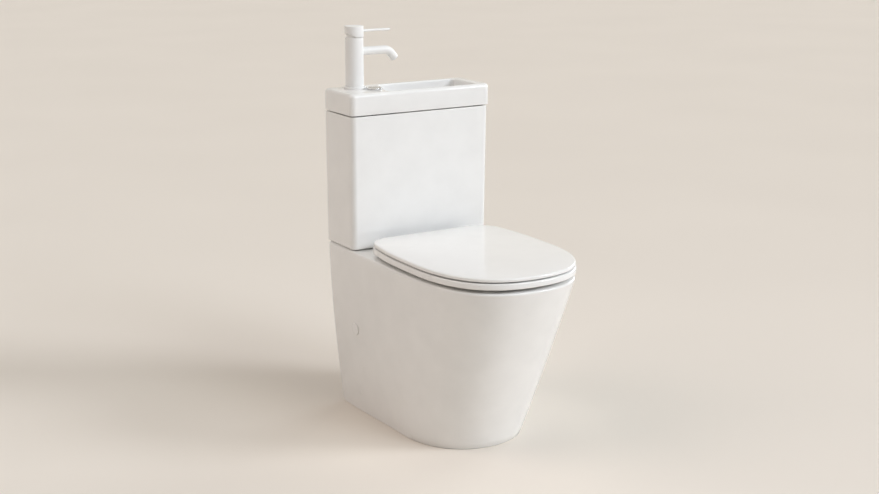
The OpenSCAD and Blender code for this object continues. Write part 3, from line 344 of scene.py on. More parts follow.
# Urea-formaldehyde, compression moulded and polished: as white as the china, a shade softer in gloss
ureaLook = {"dark": "#f2f1ef", "light": "#f5f4f2", "cloud": 70, "flow": 24, "flowDepth": 0.006,
            "gloss": 45, "rough": (0.1, 0.16), "ior": 1.55}


def makeMouldedUrea():
    material, tree, shader, where = newMaterial("mouldedUrea")
    look = ureaLook
    cloud = pattern(tree, where, look["cloud"])
    tree.links.new(tint(tree, spread(tree, cloud, 0, 1), look["dark"], look["light"]),
                   shader.inputs["Base Color"])
    tree.links.new(relief(tree, pattern(tree, where, look["flow"], 1), look["flowDepth"]),
                   shader.inputs["Normal"])
    gloss = pattern(tree, where, look["gloss"])
    tree.links.new(spread(tree, gloss, *look["rough"]), shader.inputs["Roughness"])
    shader.inputs["IOR"].default_value = look["ior"]
    return material


# Brass, turned and powder coated: an even satin that spreads highlights into broad soft bands.
# The coat's real texture is about 0.3 mm; it is drawn at 1.2 mm so that it can show
coatLook = {"dark": "#f1f0ee", "light": "#f4f3f1", "cloud": 30, "grain": 1.2, "grainDepth": 0.012,
            "rough": (0.3, 0.38), "ior": 1.5}


def makePowderCoat():
    material, tree, shader, where = newMaterial("powderCoatedBrass")
    look = coatLook
    grain = pattern(tree, where, look["grain"], 2)
    cloud = pattern(tree, where, look["cloud"])
    tree.links.new(tint(tree, spread(tree, cloud, 0, 1), look["dark"], look["light"]),
                   shader.inputs["Base Color"])
    tree.links.new(relief(tree, grain, look["grainDepth"]), shader.inputs["Normal"])
    tree.links.new(spread(tree, grain, *look["rough"]), shader.inputs["Roughness"])
    shader.inputs["IOR"].default_value = look["ior"]
    return material


# One builder for the metals, plastic and rubber of the small pieces
smallCloud = 18
smallLooks = {
    # bright electroplate: a mirror with a few cloudy spots from wiping
    "chromePlate": {"dark": "#b9bbbf", "light": "#c6c8cb", "metal": 1, "rough": (0.06, 0.14),
                    "grain": 14, "grainDepth": 0.002},
    # drawn stainless bar: greyer, with fine marks that blur it
    "stainlessSteel": {"dark": "#b4b5b6", "light": "#c3c4c4", "metal": 1, "rough": (0.26, 0.38),
                       "grain": 2, "grainDepth": 0.004},
    # moulded acetal: milky, with a faint sheen and slow changes of gloss
    "mouldedAcetal": {"dark": "#dfe0de", "light": "#e6e6e4", "metal": 0, "rough": (0.34, 0.46),
                      "grain": 3, "grainDepth": 0.006},
    # moulded EPDM rubber: almost black and dull
    "mouldedRubber": {"dark": "#2a2a2b", "light": "#363637", "metal": 0, "rough": (0.7, 0.82),
                      "grain": 1.5, "grainDepth": 0.02},
}


def makeSmallMaterial(name):
    material, tree, shader, where = newMaterial(name)
    look = smallLooks[name]
    grain = pattern(tree, where, look["grain"], 3)
    cloud = pattern(tree, where, smallCloud)
    tree.links.new(tint(tree, spread(tree, cloud, 0, 1), look["dark"], look["light"]),
                   shader.inputs["Base Color"])
    tree.links.new(relief(tree, grain, look["grainDepth"]), shader.inputs["Normal"])
    tree.links.new(spread(tree, grain, *look["rough"]), shader.inputs["Roughness"])
    shader.inputs["Metallic"].default_value = look["metal"]
    return material


vitreousChina = makeVitreousChina()
mouldedUrea = makeMouldedUrea()
powderCoat = makePowderCoat()
chromePlate, stainlessSteel, mouldedAcetal, mouldedRubber = [makeSmallMaterial(n) for n in smallLooks]
slotMaterials = {"ceramic": vitreousChina, "seat_plastic": mouldedUrea, "tap_finish": powderCoat,
                 "chrome": chromePlate, "steel": stainlessSteel, "plastic": mouldedAcetal,
                 "rubber": mouldedRubber}
print("materials made")


panSize = {
    "depth": 620, "rimHalf": 184, "rimSide": 330, "rimRound": 6, "baseBackHalf": 150, "baseHalf": 142.5,
    "baseSide": 280, "baseFront": 447, "sideBulge": 0.66, "noseBulge": 0.04, "corner": 10, "wall": 10,
    "deckUnder": 394, "bowlHalf": 126, "bowlBack": 248, "bowlFront": 570, "bowlWide": 430,
    "sumpZ": 88, "sumpR": 28, "sumpD": 372, "sumpDip": 5, "bowlFlare": 0.7, "lip": 6,
    "backPoints": 36, "footRound": 1.2, "baseSlant": 1.2, "basePull": (0.62, 0.6),
    "rimPull": (0.656, 0.77), "duct": (-38, 38, 34, 262, 352, 395), "ductRound": 6,
}

# The trap and the outlet behind it: the middle of the pipe as (x, d, z), its outer and inner radius
# before and after it widens, where along the pipe that is, how many of its points pass through the
# bowl's wall, and the point that its own wall starts from
trapSize = {
    "line": [(0, 372, 112), (0, 338, 140), (0, 296, 186), (0, 252, 214), (0, 208, 206),
             (0, 170, 188), (0, 140, 180), (0, 100, 180), (0, 62, 180)],
    "outer": (35, 51), "bore": (26, 43), "widens": (0.62, 0.16), "passage": 12, "start": 3,
    "endRound": 1.5,
}


def panOutline(z, t=0):
    s = panSize
    share = max(0, z) / deckZ
    edge = -t if t > 0 else 0
    low = halfOutline(s["baseBackHalf"] - t, edge, s["corner"], s["baseSlant"], s["baseHalf"] - t,
                      s["baseSide"], s["basePull"], s["baseFront"] - t)
    high = halfOutline(s["rimHalf"] - t, edge, s["corner"], 0, s["rimHalf"] - t, s["rimSide"],
                       s["rimPull"], s["depth"] - t)
    bulge = mix(s["sideBulge"], s["noseBulge"], high[:, 1:2] / s["depth"])
    return whole(low + (high - low) * (share + bulge * share * (1 - share)))


def withBack(ring):
    # the ring from its right back corner round to its left one, then along its straight back
    body = ring[1:]
    first, last = body[0], body[-1]
    count = panSize["backPoints"]
    back = [mix(last, first, i / count) for i in range(1, count)]
    return np.vstack([body, back])


def bowlRing(angles, share, grow):
    s = panSize
    u = share ** s["bowlFlare"]
    w = mix(s["sumpR"], s["bowlHalf"], u) + grow
    back = mix(s["sumpD"] - s["sumpR"], s["bowlBack"], u) - grow
    wide = mix(s["sumpD"], s["bowlWide"], u)
    front = mix(s["sumpD"] + s["sumpR"], s["bowlFront"], u) + grow
    reach = np.where(np.cos(angles) > 0, wide - back, front - wide)
    return np.column_stack([w * np.sin(angles), wide - np.cos(angles) * reach])


def sweep(name, path, radii, inner=None, steps=40):
    # a round pipe along a path of (x, d, z) in the plane x = 0; where inner is given, it is hollow
    def rings(rs):
        out = []
        for i, p in enumerate(path):
            a, b = path[max(0, i - 1)], path[min(len(path) - 1, i + 1)]
            ahead = np.array(b, float) - np.array(a, float)
            ahead /= np.linalg.norm(ahead)
            up = np.cross(ahead, [1, 0, 0])
            out.append([np.array(p) + rs[i] * (math.cos(t) * np.array([1, 0, 0]) + math.sin(t) * up)
                        for t in np.linspace(0, 2 * math.pi, steps, endpoint=False)])
        return out
    outer = rings(radii)
    if inner is None:
        return loft(name, outer)
    return loft(name, outer + rings(inner)[::-1], loop=True)


def curve(points, count):
    # a smooth line through points
    p = np.array(points, float)
    p = np.vstack([2 * p[0] - p[1], p, 2 * p[-1] - p[-2]])
    out = []
    for i in range(1, len(p) - 2):
        for k in range(count):
            t = k / count
            out.append(0.5 * (2 * p[i] + (p[i + 1] - p[i - 1]) * t
                              + (2 * p[i - 1] - 5 * p[i] + 4 * p[i + 1] - p[i + 2]) * t * t
                              + (3 * p[i] - p[i - 1] - 3 * p[i + 1] + p[i + 2]) * t ** 3))
    out.append(p[-2])
    return out


def makePan():
    s = panSize
    top = withBack(panOutline(deckZ))
    n = len(top)
    nSide = n - s["backPoints"] + 1  # points of the ring that aren't on its straight back
    towards = top - np.array([0, s["bowlWide"]])
    reach = np.where(towards[:, 1] < 0, s["bowlWide"] - s["bowlBack"], s["bowlFront"] - s["bowlWide"])
    angles = np.arctan2(towards[:, 0] / s["bowlHalf"], -towards[:, 1] / reach)

    under = s["deckUnder"]
    foot = shrunk(withBack(panOutline(0)), s["footRound"])
    foot[:, 1] = np.maximum(foot[:, 1], 0)
    outer = [level(foot, 0)]
    outer += [level(withBack(panOutline(z)), z) for z in [s["footRound"]] + list(range(16, under, 16))]
    inner = []
    for z in [0] + list(range(24, under, 24)) + [under]:
        ring = withBack(panOutline(z, s["wall"]))
        ring[:, 1] = np.maximum(ring[:, 1], 0)
        ends = withBack(panOutline(z))
        ring[nSide:] = ends[nSide:]
        low = ring[:, 1] <= 0
        low[nSide:] = False
        edge = ends[0, 0]
        ring[low, 0] = np.sign(ring[low, 0]) * edge
        inner.append(level(ring, z))

    upper = [level(withBack(panOutline(under)), under)]
    for sine, cosine in quarter(10):
        z = deckZ - s["rimRound"] * (1 - sine)
        upper.append(level(shrunk(withBack(panOutline(z)), s["rimRound"] * (1 - cosine)), z))
    for share in (0.35, 0.7):
        upper.append(level(mix(upper[-1][:, :2], bowlRing(angles, 1, s["lip"]), share), deckZ))
    for sine, cosine in reversed(quarter()):
        upper.append(level(bowlRing(angles, 1, s["lip"] * (1 - cosine)), deckZ - s["lip"] * (1 - sine)))
    for k in list(np.linspace(0.96, 0.1, 22)) + [0.07, 0.045, 0.025, 0.012, 0.004, 0]:
        upper.append(level(bowlRing(angles, k, 0), mix(s["sumpZ"], deckZ - s["lip"], k)))
    sump, middle = bowlRing(angles, 0, 0), np.array([0, s["sumpD"]])
    for f in (0.85, 0.6, 0.3):
        upper.append(level(middle + (sump - middle) * f, s["sumpZ"] - s["sumpDip"] * (1 - f * f)))
    body = []
    low = s["sumpZ"] - s["wall"]
    for k in list(np.linspace(1, 0.1, 12)) + [0.05, 0.02, 0]:
        body.append(level(bowlRing(angles, k, s["wall"]), mix(low, under, k)))

    verts = []
    faces = []

    def add(ring):
        verts.extend(place(ring))
        return len(verts) - n

    def join(first, second, count):
        faces.extend((first + i, first + (i + 1) % n, second + (i + 1) % n, second + i)
                     for i in range(count))

    def cap(first, z):
        centre = np.array(verts[first:first + n]).mean(0)
        verts.append(np.array([centre[0], centre[1], z / 1000]))
        faces.extend((len(verts) - 1, first + (i + 1) % n, first + i) for i in range(n))

    sideFaces = nSide - 1
    outerAt = [add(r) for r in outer]
    upperAt = [add(r) for r in upper]
    innerAt = [add(r) for r in inner]
    bodyAt = [add(r) for r in body]
    for a, b in zip(outerAt, outerAt[1:]):
        join(a, b, sideFaces)
    join(outerAt[-1], upperAt[0], sideFaces)
    for a, b in zip(upperAt, upperAt[1:]):
        join(a, b, n)
    join(outerAt[0], innerAt[0], sideFaces)
    for a, b in zip(innerAt, innerAt[1:]):
        join(a, b, sideFaces)
    join(innerAt[-1], bodyAt[0], n)
    for a, b in zip(bodyAt, bodyAt[1:]):
        join(a, b, n)
    cap(upperAt[-1], s["sumpZ"] - s["sumpDip"])
    cap(bodyAt[-1], low)
    shell = makeObject("panShell", verts, faces, 40, 2e-5)

    trap = trapSize
    line = curve(trap["line"], 6)
    share = (np.arange(len(line)) / (len(line) - 1) - trap["widens"][0]) / trap["widens"][1]
    share = np.clip(share, 0, 1)
    ease = share * share * (3 - 2 * share)
    through = line[:trap["passage"]]
    carve(shell, [sweep("passage", through, [trap["bore"][0]] * len(through))])
    outerR, innerR = mix(*trap["outer"], ease)[trap["start"]:], mix(*trap["bore"], ease)[trap["start"]:]
    outerR[-1] -= trap["endRound"]
    pipe = sweep("trap", line[trap["start"]:], outerR, innerR)
    smooth(pipe, 40)
    duct = block("duct", *s["duct"])
    softenEdges(duct, s["ductRound"])
    pan = joinObjects("panBody", [shell, pipe, duct])
    return finishPiece(pan, vitreousChina, "base", "ceramic", "pan")


makePan()
print("pan made")


cisternSize = {"foot": 410.4, "top": 722, "halfTop": 184.5, "halfFoot": 183, "depthTop": 133,
               "depthFoot": 128, "corner": 14, "backCorner": 4, "wall": 9, "under": 436.4,
               "floor": 448.4, "footRound": 4, "topRound": 1.6}


def cisternOutline(z, t=0):
    s = cisternSize
    share = (z - s["foot"]) / (s["top"] - s["foot"])
    w = mix(s["halfFoot"], s["halfTop"], share) - t
    return boxOutline(w, w, w, t, mix(s["depthFoot"], s["depthTop"], share) - t,
                      max(1, s["backCorner"] - t / 3), s["corner"] - t / 2)


def makeCistern():
    s = cisternSize
    rings = [level(cisternOutline(s["under"], s["wall"] + 3), z) for z in (s["under"], s["foot"] + 1)]
    rings.append(level(cisternOutline(s["foot"], s["wall"] + 2), s["foot"]))
    for sine, cosine in quarter():
        z = s["foot"] + s["footRound"] * (1 - cosine)
        rings.append(level(shrunk(cisternOutline(z), s["footRound"] * (1 - sine)), z))
    rings += [level(cisternOutline(z), z) for z in np.linspace(s["foot"] + 30, s["top"] - 20, 9)]
    for sine, cosine in quarter():
        z = s["top"] - s["topRound"] * (1 - sine)
        rings.append(level(shrunk(cisternOutline(z), s["topRound"] * (1 - cosine)), z))
    rings += [level(cisternOutline(s["top"], s["wall"]), z) for z in (s["top"], s["top"] - 2)]
    rings.append(level(cisternOutline(s["floor"], s["wall"]), s["floor"]))
    tank = loft("cisternTank", rings, smoothAngle=40)
    return finishPiece(tank, vitreousChina, "base", "ceramic", "cistern_tank")


makeCistern()
print("cistern made")


basinSize = {
    "foot": 725, "top": 774.7, "half": 187, "depth": 135.5, "round": 9, "corner": 14, "backCorner": 10,
    "wall": 9, "deck": 12, "leftBack": 54, "leftFront": 82, "right": 154, "back": 18, "front": 122,
    "deep": 75, "ramp": 48, "rampPower": 1.6, "frontRamp": 18, "lean": 11, "rightLean": 6,
    "backLean": 3, "bowlCorner": 11, "bowlWall": 8, "lip": 4, "fillet": 14, "floorDip": 0.6,
    "tapHole": (-129, 45, 17.5), "buttonHole": (-99, 82, 17.1), "wasteHole": (58, 68, 15.5),
}


def lidOutline(t=0):
    s = basinSize
    return boxOutline(s["half"] - t, s["half"] - t, s["half"] - t, t, s["depth"] - t,
                      max(1, s["backCorner"] - t), max(2, s["corner"] - t))


def basinOutline(k, t=0):
    s = basinSize
    ramp = s["ramp"] * k ** s["rampPower"]
    r = s["bowlCorner"] + t
    return boxOutline(s["leftBack"] - ramp + t, s["leftFront"] - ramp - s["frontRamp"] * k + t,
                      s["right"] - s["rightLean"] * k + t, s["back"] + s["backLean"] * k - t,
                      s["front"] - s["lean"] * k + t, r, r)


def makeBasinLid():
    s = basinSize
    top, low = s["top"], s["top"] - s["deep"]
    upper = [level(shrunk(lidOutline(), 1.2), s["foot"]),
             level(shrunk(lidOutline(), 0.35), s["foot"] + 0.4), level(lidOutline(), s["foot"] + 1.4)]
    for sine, cosine in quarter(10):
        upper.append(level(lidOutline(s["round"] * (1 - cosine)), top - s["round"] * (1 - sine)))
    for sine, cosine in reversed(quarter()):
        t = s["lip"] * (1 - cosine)
        upper.append(level(shrunk(basinOutline(0), -t), top - s["lip"] * (1 - sine)))
    fillet = s["fillet"]
    share = fillet / s["deep"]
    for k in np.linspace(0.08, 1 - share, 18):
        upper.append(level(basinOutline(k), mix(top, low, k)))
    for sine, cosine in quarter(10, 10):
        t = fillet * (1 - cosine)
        z = low + fillet * (1 - sine)
        k = min(1, (top - z) / s["deep"])
        upper.append(level(shrunk(basinOutline(k), t * 0.75), z))
    floor = upper[-1][:, :2]
    middle = floor.mean(0)
    for f in (0.75, 0.4):
        upper.append(level(middle + (floor - middle) * f, low - s["floorDip"] * (1 - f)))
    lower = [level(shrunk(lidOutline(), s["wall"] - 1), s["foot"]),
             level(lidOutline(s["wall"]), s["foot"] + 1), level(lidOutline(s["wall"]), top - s["deck"])]
    thick = s["bowlWall"]
    lower += [level(basinOutline(k, thick), mix(top, low - thick, k))
              for k in np.linspace(s["deck"] / s["deep"], 1, 10)]
    lid = loft("basinLidBody", upper[::-1] + lower, smoothAngle=40)
    holes = []
    for name in ("tapHole", "buttonHole", "wasteHole"):
        x, d, r = s[name]
        floorZ = low - 30 if name == "wasteHole" else top - 30
        roof = low + 30 if name == "wasteHole" else top + 10
        holes.append(revolve(name, [(0, 0), (r, 0), (r, roof - floorZ), (0, roof - floorZ)], (x, d, floorZ),
                             steps=64))
    carve(lid, holes)
    smooth(lid, 40)
    return finishPiece(lid, vitreousChina, "base", "ceramic", "basin_lid")


makeBasinLid()
print("basin lid made")


seatSize = {
    "backHalf": 170.5, "half": 179.6, "wideD": 389.5, "back": 158.4, "front": 617.2, "corner": 62,
    "slant": 9.4, "ringStep": 1.4, "ringZ": 416.2, "ringTop": 430.2, "lidZ": 433.3, "lidSide": 5.2,
    "crown": 7.5, "holeHalf": 110, "holeBack": 262, "holeFront": 546, "ringBack": 170.5,
    "hingeHalf": 77.5, "hingeD": 172, "hingeZ": 430.0, "knuckleR": 7.5, "notchHalf": 19.6,
    "notchFront": 182, "knuckleIn": 9.3, "knuckleW": 10, "recess": 4, "pull": (0.64, 0.7),
    "holeWide": 430, "ringRound": 3, "holeRound": 7, "pinBore": 3.05, "ringArm": (183, 174),
    "lidArm": (179.3, 164.7), "cutHalf": 200, "cutFrom": 120,
}


def seatOutline():
    s = seatSize
    return whole(halfOutline(s["backHalf"], s["back"], s["corner"], s["slant"], s["half"], s["wideD"],
                             s["pull"], s["front"], (16, 16, 60)))


def holeOutline(outline, t):
    s = seatSize
    w, wide = s["holeHalf"] + t, s["holeWide"]
    v = outline - np.array([0, wide])
    reach = np.where(v[:, 1] < 0, wide - s["holeBack"] + t, s["holeFront"] + t - wide)
    size = np.sqrt((v[:, 0] / w) ** 2 + (v[:, 1] / reach) ** 2)
    return np.array([0, wide]) + v / size[:, None]


def knuckle(name, x, boxHigh, boxLow, dFront, dBack):
    # a bored barrel on the hinge axis with the block that joins it to its panel
    s = seatSize
    bore, r, w = s["pinBore"], s["knuckleR"], s["knuckleW"]
    barrel = revolve(name, rounded([(bore, 0), (r, 0), (r, w), (bore, w)], [0, 0.5, 0.5, 0], 3),
                     (x, s["hingeD"], s["hingeZ"]), (1, 0, 0), 48, closed=True)
    arm = block(name + "Arm", x + 0.2, x + w - 0.2, dBack, dFront, boxLow, boxHigh)
    softenEdges(arm, 0.4, 2)
    return [barrel, arm]


def notches(low, high):
    # cutters for the room that the two hinges need
    s = seatSize
    return [block("cutNotch", x - s["notchHalf"], x + s["notchHalf"], s["cutFrom"], s["notchFront"],
                  low, high) for x in (-s["hingeHalf"], s["hingeHalf"])]


def makeSeatRing():
    s = seatSize
    outline = shrunk(seatOutline(), -s["ringStep"])
    low, top, edge, inside = s["ringZ"], s["ringTop"], s["ringRound"], s["holeRound"]
    base = seatOutline()
    rings = []
    for sine, cosine in quarter():
        rings.append(level(shrunk(outline, edge * (1 - sine)), low + edge * (1 - cosine)))
    for sine, cosine in quarter():
        rings.append(level(shrunk(outline, edge * (1 - cosine)), top - edge * (1 - sine)))
    for sine, cosine in quarter():
        rings.append(level(holeOutline(base, inside * (1 - sine)), top - inside * (1 - cosine)))
    for sine, cosine in quarter():
        rings.append(level(holeOutline(base, edge * (1 - cosine)), low + edge * (1 - sine)))
    ring = loft("seatRingBody", rings, loop=True, smoothAngle=40)
    cuts = [block("cutBack", -s["cutHalf"], s["cutHalf"], s["cutFrom"], s["ringBack"], low - 5, top + 5)]
    cuts += notches(low - 5, top + 5)
    carve(ring, cuts)
    smooth(ring, 40)
    parts = [ring]
    inner = s["hingeHalf"] + s["knuckleIn"]
    outer = inner + s["knuckleW"]
    for x in (inner, -outer):
        parts += knuckle("ringKnuckle", x, s["hingeZ"], s["hingeZ"] - 6, *s["ringArm"])
    for x in (outer - 0.2, -outer - 0.4):
        parts.append(block("ringWeb", x, x + 0.6, s["ringBack"], 182, low + 1, top - 1))
    ring = joinObjects("seatRing", parts)
    return finishPiece(ring, mouldedUrea, "ring", "seat_plastic", "seat_ring")


def makeSeatLid():
    s = seatSize
    outline = seatOutline()
    centre = np.array([0, (s["back"] + s["front"]) / 2])
    sideZ = s["lidZ"] + s["lidSide"]
    crownZ = sideZ + s["crown"]
    # the recess below, its rim, the round lower edge, the side and the round upper edge
    recessZ = s["lidZ"] + s["recess"]
    rings = [level(shrunk(outline, t), z) for t, z in (
        (11, recessZ), (9.6, recessZ - 0.5), (9, recessZ - 1.5), (9, s["lidZ"] + 0.5), (8.4, s["lidZ"]))]
    for sine, cosine in quarter():
        rings.append(level(shrunk(outline, 1.5 * (1 - sine)), s["lidZ"] + 1.5 * (1 - cosine)))
    rings.append(level(outline, sideZ - 1))
    for sine, cosine in quarter(10, 0, 70):
        rings.append(level(shrunk(outline, 3.4 * (1 - cosine)), sideZ - 1 + 3.6 * sine))
    edge = rings[-1]
    edgeZ = edge[0, 2]
    for f in (0.985, 0.965, 0.94, 0.91, 0.87, 0.82, 0.75, 0.66, 0.54, 0.4, 0.25, 0.12):
        lift = 1 - f ** 5
        rings.append(level(centre + (edge[:, :2] - centre) * f, mix(edgeZ, crownZ, lift)))
    lid = loft("seatLidBody", rings, smoothAngle=40)
    carve(lid, notches(s["lidZ"] - 5, s["hingeZ"] + s["knuckleR"] + 0.6))
    smooth(lid, 40)
    parts = [lid]
    inner = s["hingeHalf"] - s["knuckleIn"]
    for x in (inner - s["knuckleW"], -inner):
        parts += knuckle("lidKnuckle", x, sideZ + 1, s["hingeZ"], *s["lidArm"])
    lid = joinObjects("seatLid", parts)
    return finishPiece(lid, mouldedUrea, "lid", "seat_plastic", "seat_lid")


makeSeatRing()
makeSeatLid()
print("seat made")


tapSize = {
    "x": -129, "d": 45, "foot": 774.7, "ringR": 26, "ringH": 5, "r": 21.5, "h": 113.1, "capR": 22.2,
    "capH": 24.6, "capGap": 1.9, "capCut": 30, "capFlat": 5.5, "spoutR": 9.75, "spoutZ": 80.4,
    "spoutRun": 78.5, "spoutBend": 23, "spoutDrop": 50, "spoutEnd": 16, "spoutWall": 2,
    "leverZ": 12.3, "leverLen": 94, "leverR": 3.1, "leverTip": 2.7, "leverRoot": 16.8,
    "cartridgeR": 16.5, "domeR": 18, "domeHole": 12.5, "spoutRoot": 16.8, "ringBore": 5.2,
    "bodyHollow": 8, "nutBore": 14.3, "nutDepth": 6.9, "domeGap": 0.8, "mouthRound": 0.9,
}


def makeTap():
    s = tapSize
    x, d = s["x"], s["d"]
    bodyZ = s["foot"] + s["ringH"]
    topZ = bodyZ + s["h"]
    capZ = topZ + s["capGap"]
    inside, ringR, ringH = s["ringBore"], s["ringR"], s["ringH"]
    profile = rounded([(inside, 0), (ringR, 0), (ringR, ringH), (inside, ringH)], [0, 0.3, 1.1, 0], 6)
    ring = revolve("tapRing", profile, (x, d, s["foot"]), closed=True)
    finishPiece(ring, powderCoat, "base", "tap_finish", "tap_base_ring")

    hole = s["cartridgeR"]
    r, h, floorH = s["r"], s["h"], s["h"] - s["bodyHollow"]
    profile = rounded([(0, 0), (r, 0), (r, h), (hole, h), (hole, floorH), (0, floorH)],
                      [0, 0.4, 0.7, 0.3, 0, 0], 5)
    body = revolve("tapColumn", profile, (x, d, bodyZ), steps=128)
    finishPiece(body, powderCoat, "base", "tap_finish", "tap_body")

    # the spout: out of the body, round its bend and down over the basin
    # a station is how far it has run, how far it has turned down, and how far it is past the bend
    straight, bend, end, soft = s["spoutRun"], s["spoutDrop"], s["spoutEnd"], s["mouthRound"]
    stations = [(s["spoutRoot"], 0, 0), (22, 0, 0), (40, 0, 0), (60, 0, 0)]
    stations += [(straight, bend * i / 20, 0) for i in range(21)]
    stations += [(straight, bend, b) for b in (8, end - soft)]
    radii = [s["spoutR"]] * len(stations)
    for sine, cosine in quarter(30, 30):
        stations.append((straight, bend, end - soft + soft * sine))
        radii.append(s["spoutR"] - soft * (1 - cosine))
    bore = s["spoutR"] - s["spoutWall"]
    backStations = [(straight, bend, end - 0.1)]
    backStations += [(straight, bend * (20 - i) / 20, 0) for i in range(21)]
    backStations += [(30, 0, 0), (s["spoutRoot"], 0, 0)]
    rings = []
    for (run, turn, beyond), r in zip(stations + backStations, radii + [bore] * len(backStations)):
        t = math.radians(turn)
        ahead, up = np.array([math.cos(t), 0, -math.sin(t)]), np.array([math.sin(t), 0, math.cos(t)])
        centre = np.array([run, 0, -s["spoutBend"]]) + s["spoutBend"] * up + beyond * ahead
        ring = [centre + r * (math.cos(a) * np.array([0, 1, 0]) - math.sin(a) * up)
                for a in np.linspace(0, 2 * math.pi, 48, endpoint=False)]
        rings.append([(p[0] + x, d - p[1], p[2] + bodyZ + s["spoutZ"]) for p in ring])
    spout = loft("tapSpout", rings, loop=True, smoothAngle=40)
    finishPiece(spout, powderCoat, "base", "tap_finish", "tap_spout")

    # domed nut under the cap
    domeR, domeHole, nutBore = s["domeR"], s["domeHole"], s["nutBore"]
    domeTop = math.sqrt(domeR ** 2 - domeHole ** 2)
    gap, nutEnd = -s["capGap"], -s["capGap"] - s["nutDepth"]
    profile = [(nutBore, nutEnd), (hole - 0.05, nutEnd), (hole - 0.05, gap), (domeR, gap)]
    last = math.atan2(domeTop, domeHole)
    profile += [(domeR * math.cos(last * i / 14), domeR * math.sin(last * i / 14)) for i in range(15)]
    profile += [(domeHole, domeTop - 2.4), (nutBore, domeTop - 4.2)]
    dome = revolve("tapNut", profile, (x, d, capZ), closed=True)
    finishPiece(dome, powderCoat, "base", "tap_finish", "cartridge_nut")

    # cap: turned, hollow below, and cut away at its rear so that the lever can tip back
    capR, capH = s["capR"], s["capH"]
    profile = rounded([(0, 0), (capR, 0), (capR, capH), (0, capH)], [0, 0.4, 1.5, 0], 6)
    cap = revolve("tapCapBody", profile, (x, d, capZ), steps=128)
    hollow = domeR + s["domeGap"]
    bowl = revolve("bowl", [(hollow * math.cos(a), hollow * math.sin(a))
                            for a in np.linspace(-math.pi / 2, math.pi / 2, 25)], (x, d, capZ), steps=64)
    cutter = block("cutter", -60, 0, -40, 40, -60, 0)
    cutter.data.transform(Matrix.Translation((0, -wallY / 1000, 0)))
    turn = Matrix.Rotation(math.radians(s["capCut"]), 4, "Y")
    shift = Matrix.Translation(Vector(place([(x - s["capFlat"], d, capZ)])[0]))
    cutter.data.transform(shift @ turn)
    carve(cap, [bowl, cutter])
    softenEdges(cap, 0.35, 2, 50)
    finishPiece(cap, powderCoat, "handle", "tap_finish", "tap_cap")

    reach = s["leverLen"] - s["leverRoot"]
    profile = rounded([(0, 0), (s["leverR"], 0), (s["leverR"], 10), (s["leverTip"], reach), (0, reach)],
                      [0, 0, 0, 0.8, 0], 5)
    lever = revolve("tapLever", profile, (x + s["leverRoot"], d, capZ + s["leverZ"]), (1, 0, 0), 48)
    finishPiece(lever, powderCoat, "handle", "tap_finish", "tap_lever")


makeTap()
print("tap made")


buttonSize = {"x": -99, "d": 82, "bezelR": 19, "bezelH": 4.3, "r": 14.6, "bore": 14.9, "body": 16.6,
              "t": 4, "split": 2, "lidZ": 774.7, "rods": (-7, 8), "stemR": 3, "stemBore": 2.42}


def makeButtons():
    s = buttonSize
    x, d, z = s["x"], s["d"], s["lidZ"]
    top = s["bezelH"]
    bezel = revolve("buttonBezel", rounded(
        [(0, -30), (s["body"], -30), (s["body"], 0), (s["bezelR"], 0), (s["bezelR"], top), (s["bore"], top),
         (s["bore"], -22), (0, -22)], [0, 0.5, 0, 0.2, 1.4, 0.8, 0.3, 0], 6), (x, d, z), steps=128)
    holes = [revolve("rodHole", [(0, 0), (s["stemR"] + 0.3, 0), (s["stemR"] + 0.3, 20), (0, 20)],
                     (x, d - y, z - 32), steps=32) for y in s["rods"]]
    carve(bezel, holes)
    smooth(bezel, 40)
    finishPiece(bezel, chromePlate, "base", "chrome", "button_bezel")
    for side, rodY, name, node in ((-1, s["rods"][0], "fullButton", "full_button"),
                                   (1, s["rods"][1], "halfButton", "half_button")):
        crown = [(0, top - s["t"]), (s["r"], top - s["t"]), (s["r"], top - 0.9), (s["r"] - 0.9, top - 0.15),
                 (0, top)]
        plate = revolve(name + "Plate", rounded(crown, [0, 0.2, 0.5, 0.8, 0], 5), (x, d, z), steps=96)
        # this button's share of the disc, less half of the gap between the two
        edge = d - s["split"]
        near, far = (d - 40, edge - 0.25) if side > 0 else (edge + 0.25, d + 40)
        keep = block("keep", x - 20, x + 20, near, far, z + top - 10, z + top + 10)
        carve(plate, [keep], "INTERSECT")
        softenEdges(plate, 0.3, 3, 40)
        profile = rounded([(s["stemBore"], -34), (s["stemR"], -34), (s["stemR"], top - 1.2),
                           (0, top - 1.2)], [0, 0.3, 0, 0], 3)
        stem = revolve(name + "Stem", profile, (x, d - rodY, z), steps=32)
        finishPiece(joinObjects(name, [plate, stem]), chromePlate, node, "chrome", node)


makeButtons()
print("button made")


# Each cap's distance from the wall, its height, its radius, its stub's and how far it stands out
capSize = {"access": (114, 217, 15.2, 11.2, 2.4), "screw": (106, 52, 5.5, 3.2, 1.2), "gap": 0.3}


def sideX(d, z):
    # how far out the pan's side is there
    side = panOutline(z)[1:25]
    return float(np.interp(d, side[:, 1], side[:, 0]))


def makeSideCaps():
    s = capSize
    for name, node in (("access", "access_caps"), ("screw", "screw_caps")):
        d, z, r, stub, tall = s[name]
        parts = []
        for side in (-1, 1):
            lean = (sideX(d, z + 15) - sideX(d, z - 15)) / 30
            turn = (sideX(d + 15, z) - sideX(d - 15, z)) / 30
            normal = Vector((side, turn, -lean)).normalized()
            profile = rounded([(0, -5), (stub, -5), (stub, s["gap"]), (r, s["gap"]), (r, tall - 0.5),
                               (r - 2.2, tall), (0, tall)], [0, 0.3, 0, 0.3, 0.7, 0.8, 0], 6)
            parts.append(revolve(name, profile, (side * sideX(d, z), d, z), normal, 96))
        finishPiece(joinObjects(name + "Caps", parts), vitreousChina, "base", "ceramic", node)


makeSideCaps()
print("side caps made")


